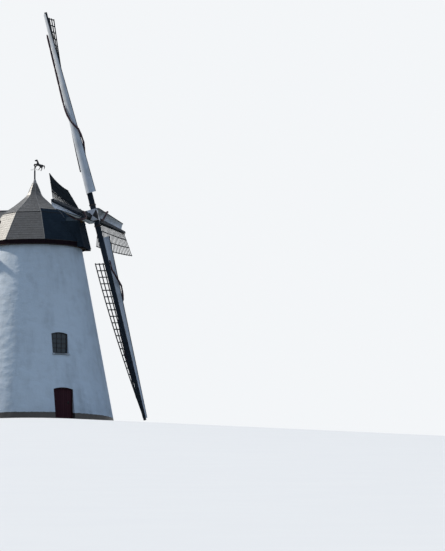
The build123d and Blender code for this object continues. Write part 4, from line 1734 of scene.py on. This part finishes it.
@dataclass
class Studio:
    """The pale ground, the lamps and the camera. Angles are in degrees."""

    azimuth: float = -25.0
    distance: float = 300.0
    sideways: float = 10.87
    eye: float = -25.9
    pitch: float = 6.58
    lens: float = 341.5
    sensor: float = 36.0
    clip_end: float = 2000.0
    slope: float = 0.098
    flat_radius: float = 5.2
    far_radius: float = 900.0
    floor_sink: float = 0.0005
    floor_seen: tuple[Colour, Colour] = ((0.71, 0.71, 0.71), (0.74, 0.74, 0.73))
    floor_bounce: Colour = (0.16, 0.17, 0.15)
    sky: Colour = (0.52, 0.71, 1.0)
    sky_strength: float = 0.53
    backdrop: Colour = (0.90, 0.92, 0.94)
    sun: Lamp = Lamp("sun", -112, 38, 4.2, (1.0, 0.93, 0.82), 2.0)
    fill: Lamp = Lamp("fill", 25, 30, 0.18, (0.82, 0.90, 1.0), 40.0)

    def floor(self) -> None:
        """Make a round floor, level under the mill and falling away evenly beyond.

        Height is -slope * max(0, radius - flat_radius), just under the mill's foot.
        """
        near = [0.0, 2.0, 4.0, 5.0, self.flat_radius, 5.6, 6.5, 8.0]
        radii = np.concatenate([near, np.geomspace(10, self.far_radius, 24)])
        sides = 96
        turn = np.linspace(0, 2 * math.pi, sides, endpoint=False)
        fall = -self.slope * np.maximum(0, radii - self.flat_radius) - self.floor_sink
        x = radii[:, None] * np.cos(turn)[None]
        y = radii[:, None] * np.sin(turn)[None]
        z = np.broadcast_to(fall[:, None], x.shape)
        mesh = bpy.data.meshes.new("floor")
        points = np.stack([x, y, z], -1).reshape(-1, 3)
        mesh.from_pydata(points.tolist(), [], grid_faces(len(radii), sides, True).tolist())
        mesh.polygons.foreach_set("use_smooth", np.full(len(mesh.polygons), True))
        floor = bpy.data.objects.new("floor", mesh)
        bpy.context.scene.collection.objects.link(floor)
        s = Shade("pale_floor")
        s.surface.inputs["Specular IOR Level"].default_value = 0.1
        seen = s.node("ShaderNodeLightPath", {}, {}, "Is Camera Ray")
        pale = s.blend(*self.floor_seen, s.noise(0.4))
        mesh.materials.append(s.finish(s.blend(self.floor_bounce, pale, seen), 1.0))

    def world(self) -> None:
        """Light softly from all round, and show a pale backdrop to the camera.

        Mirrored and transmitted rays see the backdrop too.
        """
        world = bpy.data.worlds.new("studio")
        bpy.context.scene.world = world
        world.use_nodes = True
        tree = world.node_tree
        light, seen_light = tree.nodes["Background"], tree.nodes.new("ShaderNodeBackground")
        for made, colour, strength in (
            (light, self.sky, self.sky_strength),
            (seen_light, self.backdrop, 1.0),
        ):
            made.inputs["Color"].default_value = (*colour, 1)
            made.inputs["Strength"].default_value = strength
        rays = tree.nodes.new("ShaderNodeLightPath")
        seen = rays.outputs["Is Camera Ray"]
        for ray in ("Is Transmission Ray", "Is Glossy Ray"):
            either = tree.nodes.new("ShaderNodeMath")
            either.operation = "MAXIMUM"
            tree.links.new(seen, either.inputs[0])
            tree.links.new(rays.outputs[ray], either.inputs[1])
            seen = either.outputs[0]
        mixer = tree.nodes.new("ShaderNodeMixShader")
        for number, socket in enumerate((seen, light.outputs[0], seen_light.outputs[0])):
            tree.links.new(socket, mixer.inputs[number])
        tree.links.new(mixer.outputs[0], tree.nodes["World Output"].inputs[0])

    def lamps(self) -> None:
        """Set a warm low sun on the left, a little behind, and a weak fill from the right."""
        for lamp in (self.sun, self.fill):
            data = bpy.data.lights.new(lamp.name, "SUN")
            data.energy = lamp.power
            data.color = lamp.colour
            data.angle = math.radians(lamp.softness)
            made = bpy.data.objects.new(lamp.name, data)
            bearing = math.radians(self.azimuth + lamp.beside_view)
            made.rotation_euler = (math.radians(90 - lamp.height), 0, bearing)
            bpy.context.scene.collection.objects.link(made)

    def camera(self) -> None:
        """Place the camera far off and below the mill's ground, with the photo's framing."""
        azimuth = math.radians(self.azimuth)
        data = bpy.data.cameras.new("camera")
        data.lens = self.lens
        data.sensor_width = self.sensor
        data.sensor_fit = "AUTO"
        data.clip_end = self.clip_end
        made = bpy.data.objects.new("camera", data)
        back = np.array([math.sin(azimuth), -math.cos(azimuth), 0])
        right = np.array([math.cos(azimuth), math.sin(azimuth), 0])
        made.location = back * self.distance + right * self.sideways + np.array([0, 0, self.eye])
        made.rotation_euler = (math.pi / 2 + math.radians(self.pitch), 0, azimuth)
        bpy.context.scene.collection.objects.link(made)
        bpy.context.scene.camera = made

    def build(self) -> None:
        """Build the surroundings."""
        bpy.context.scene.view_settings.view_transform = "Standard"
        self.camera()
        self.floor()
        self.world()
        self.lamps()


def main() -> None:
    """Build every part in order."""
    logging.basicConfig(level=logging.INFO, format="%(name)s %(message)s")
    Studio().build()
    finishes = Finishes()
    for part in (Tower(finishes), Cap(finishes), Sails(finishes), Vane(finishes)):
        part.build()
        LOG.info("built %s", type(part).__name__)


if __name__ == "__main__":
    main()
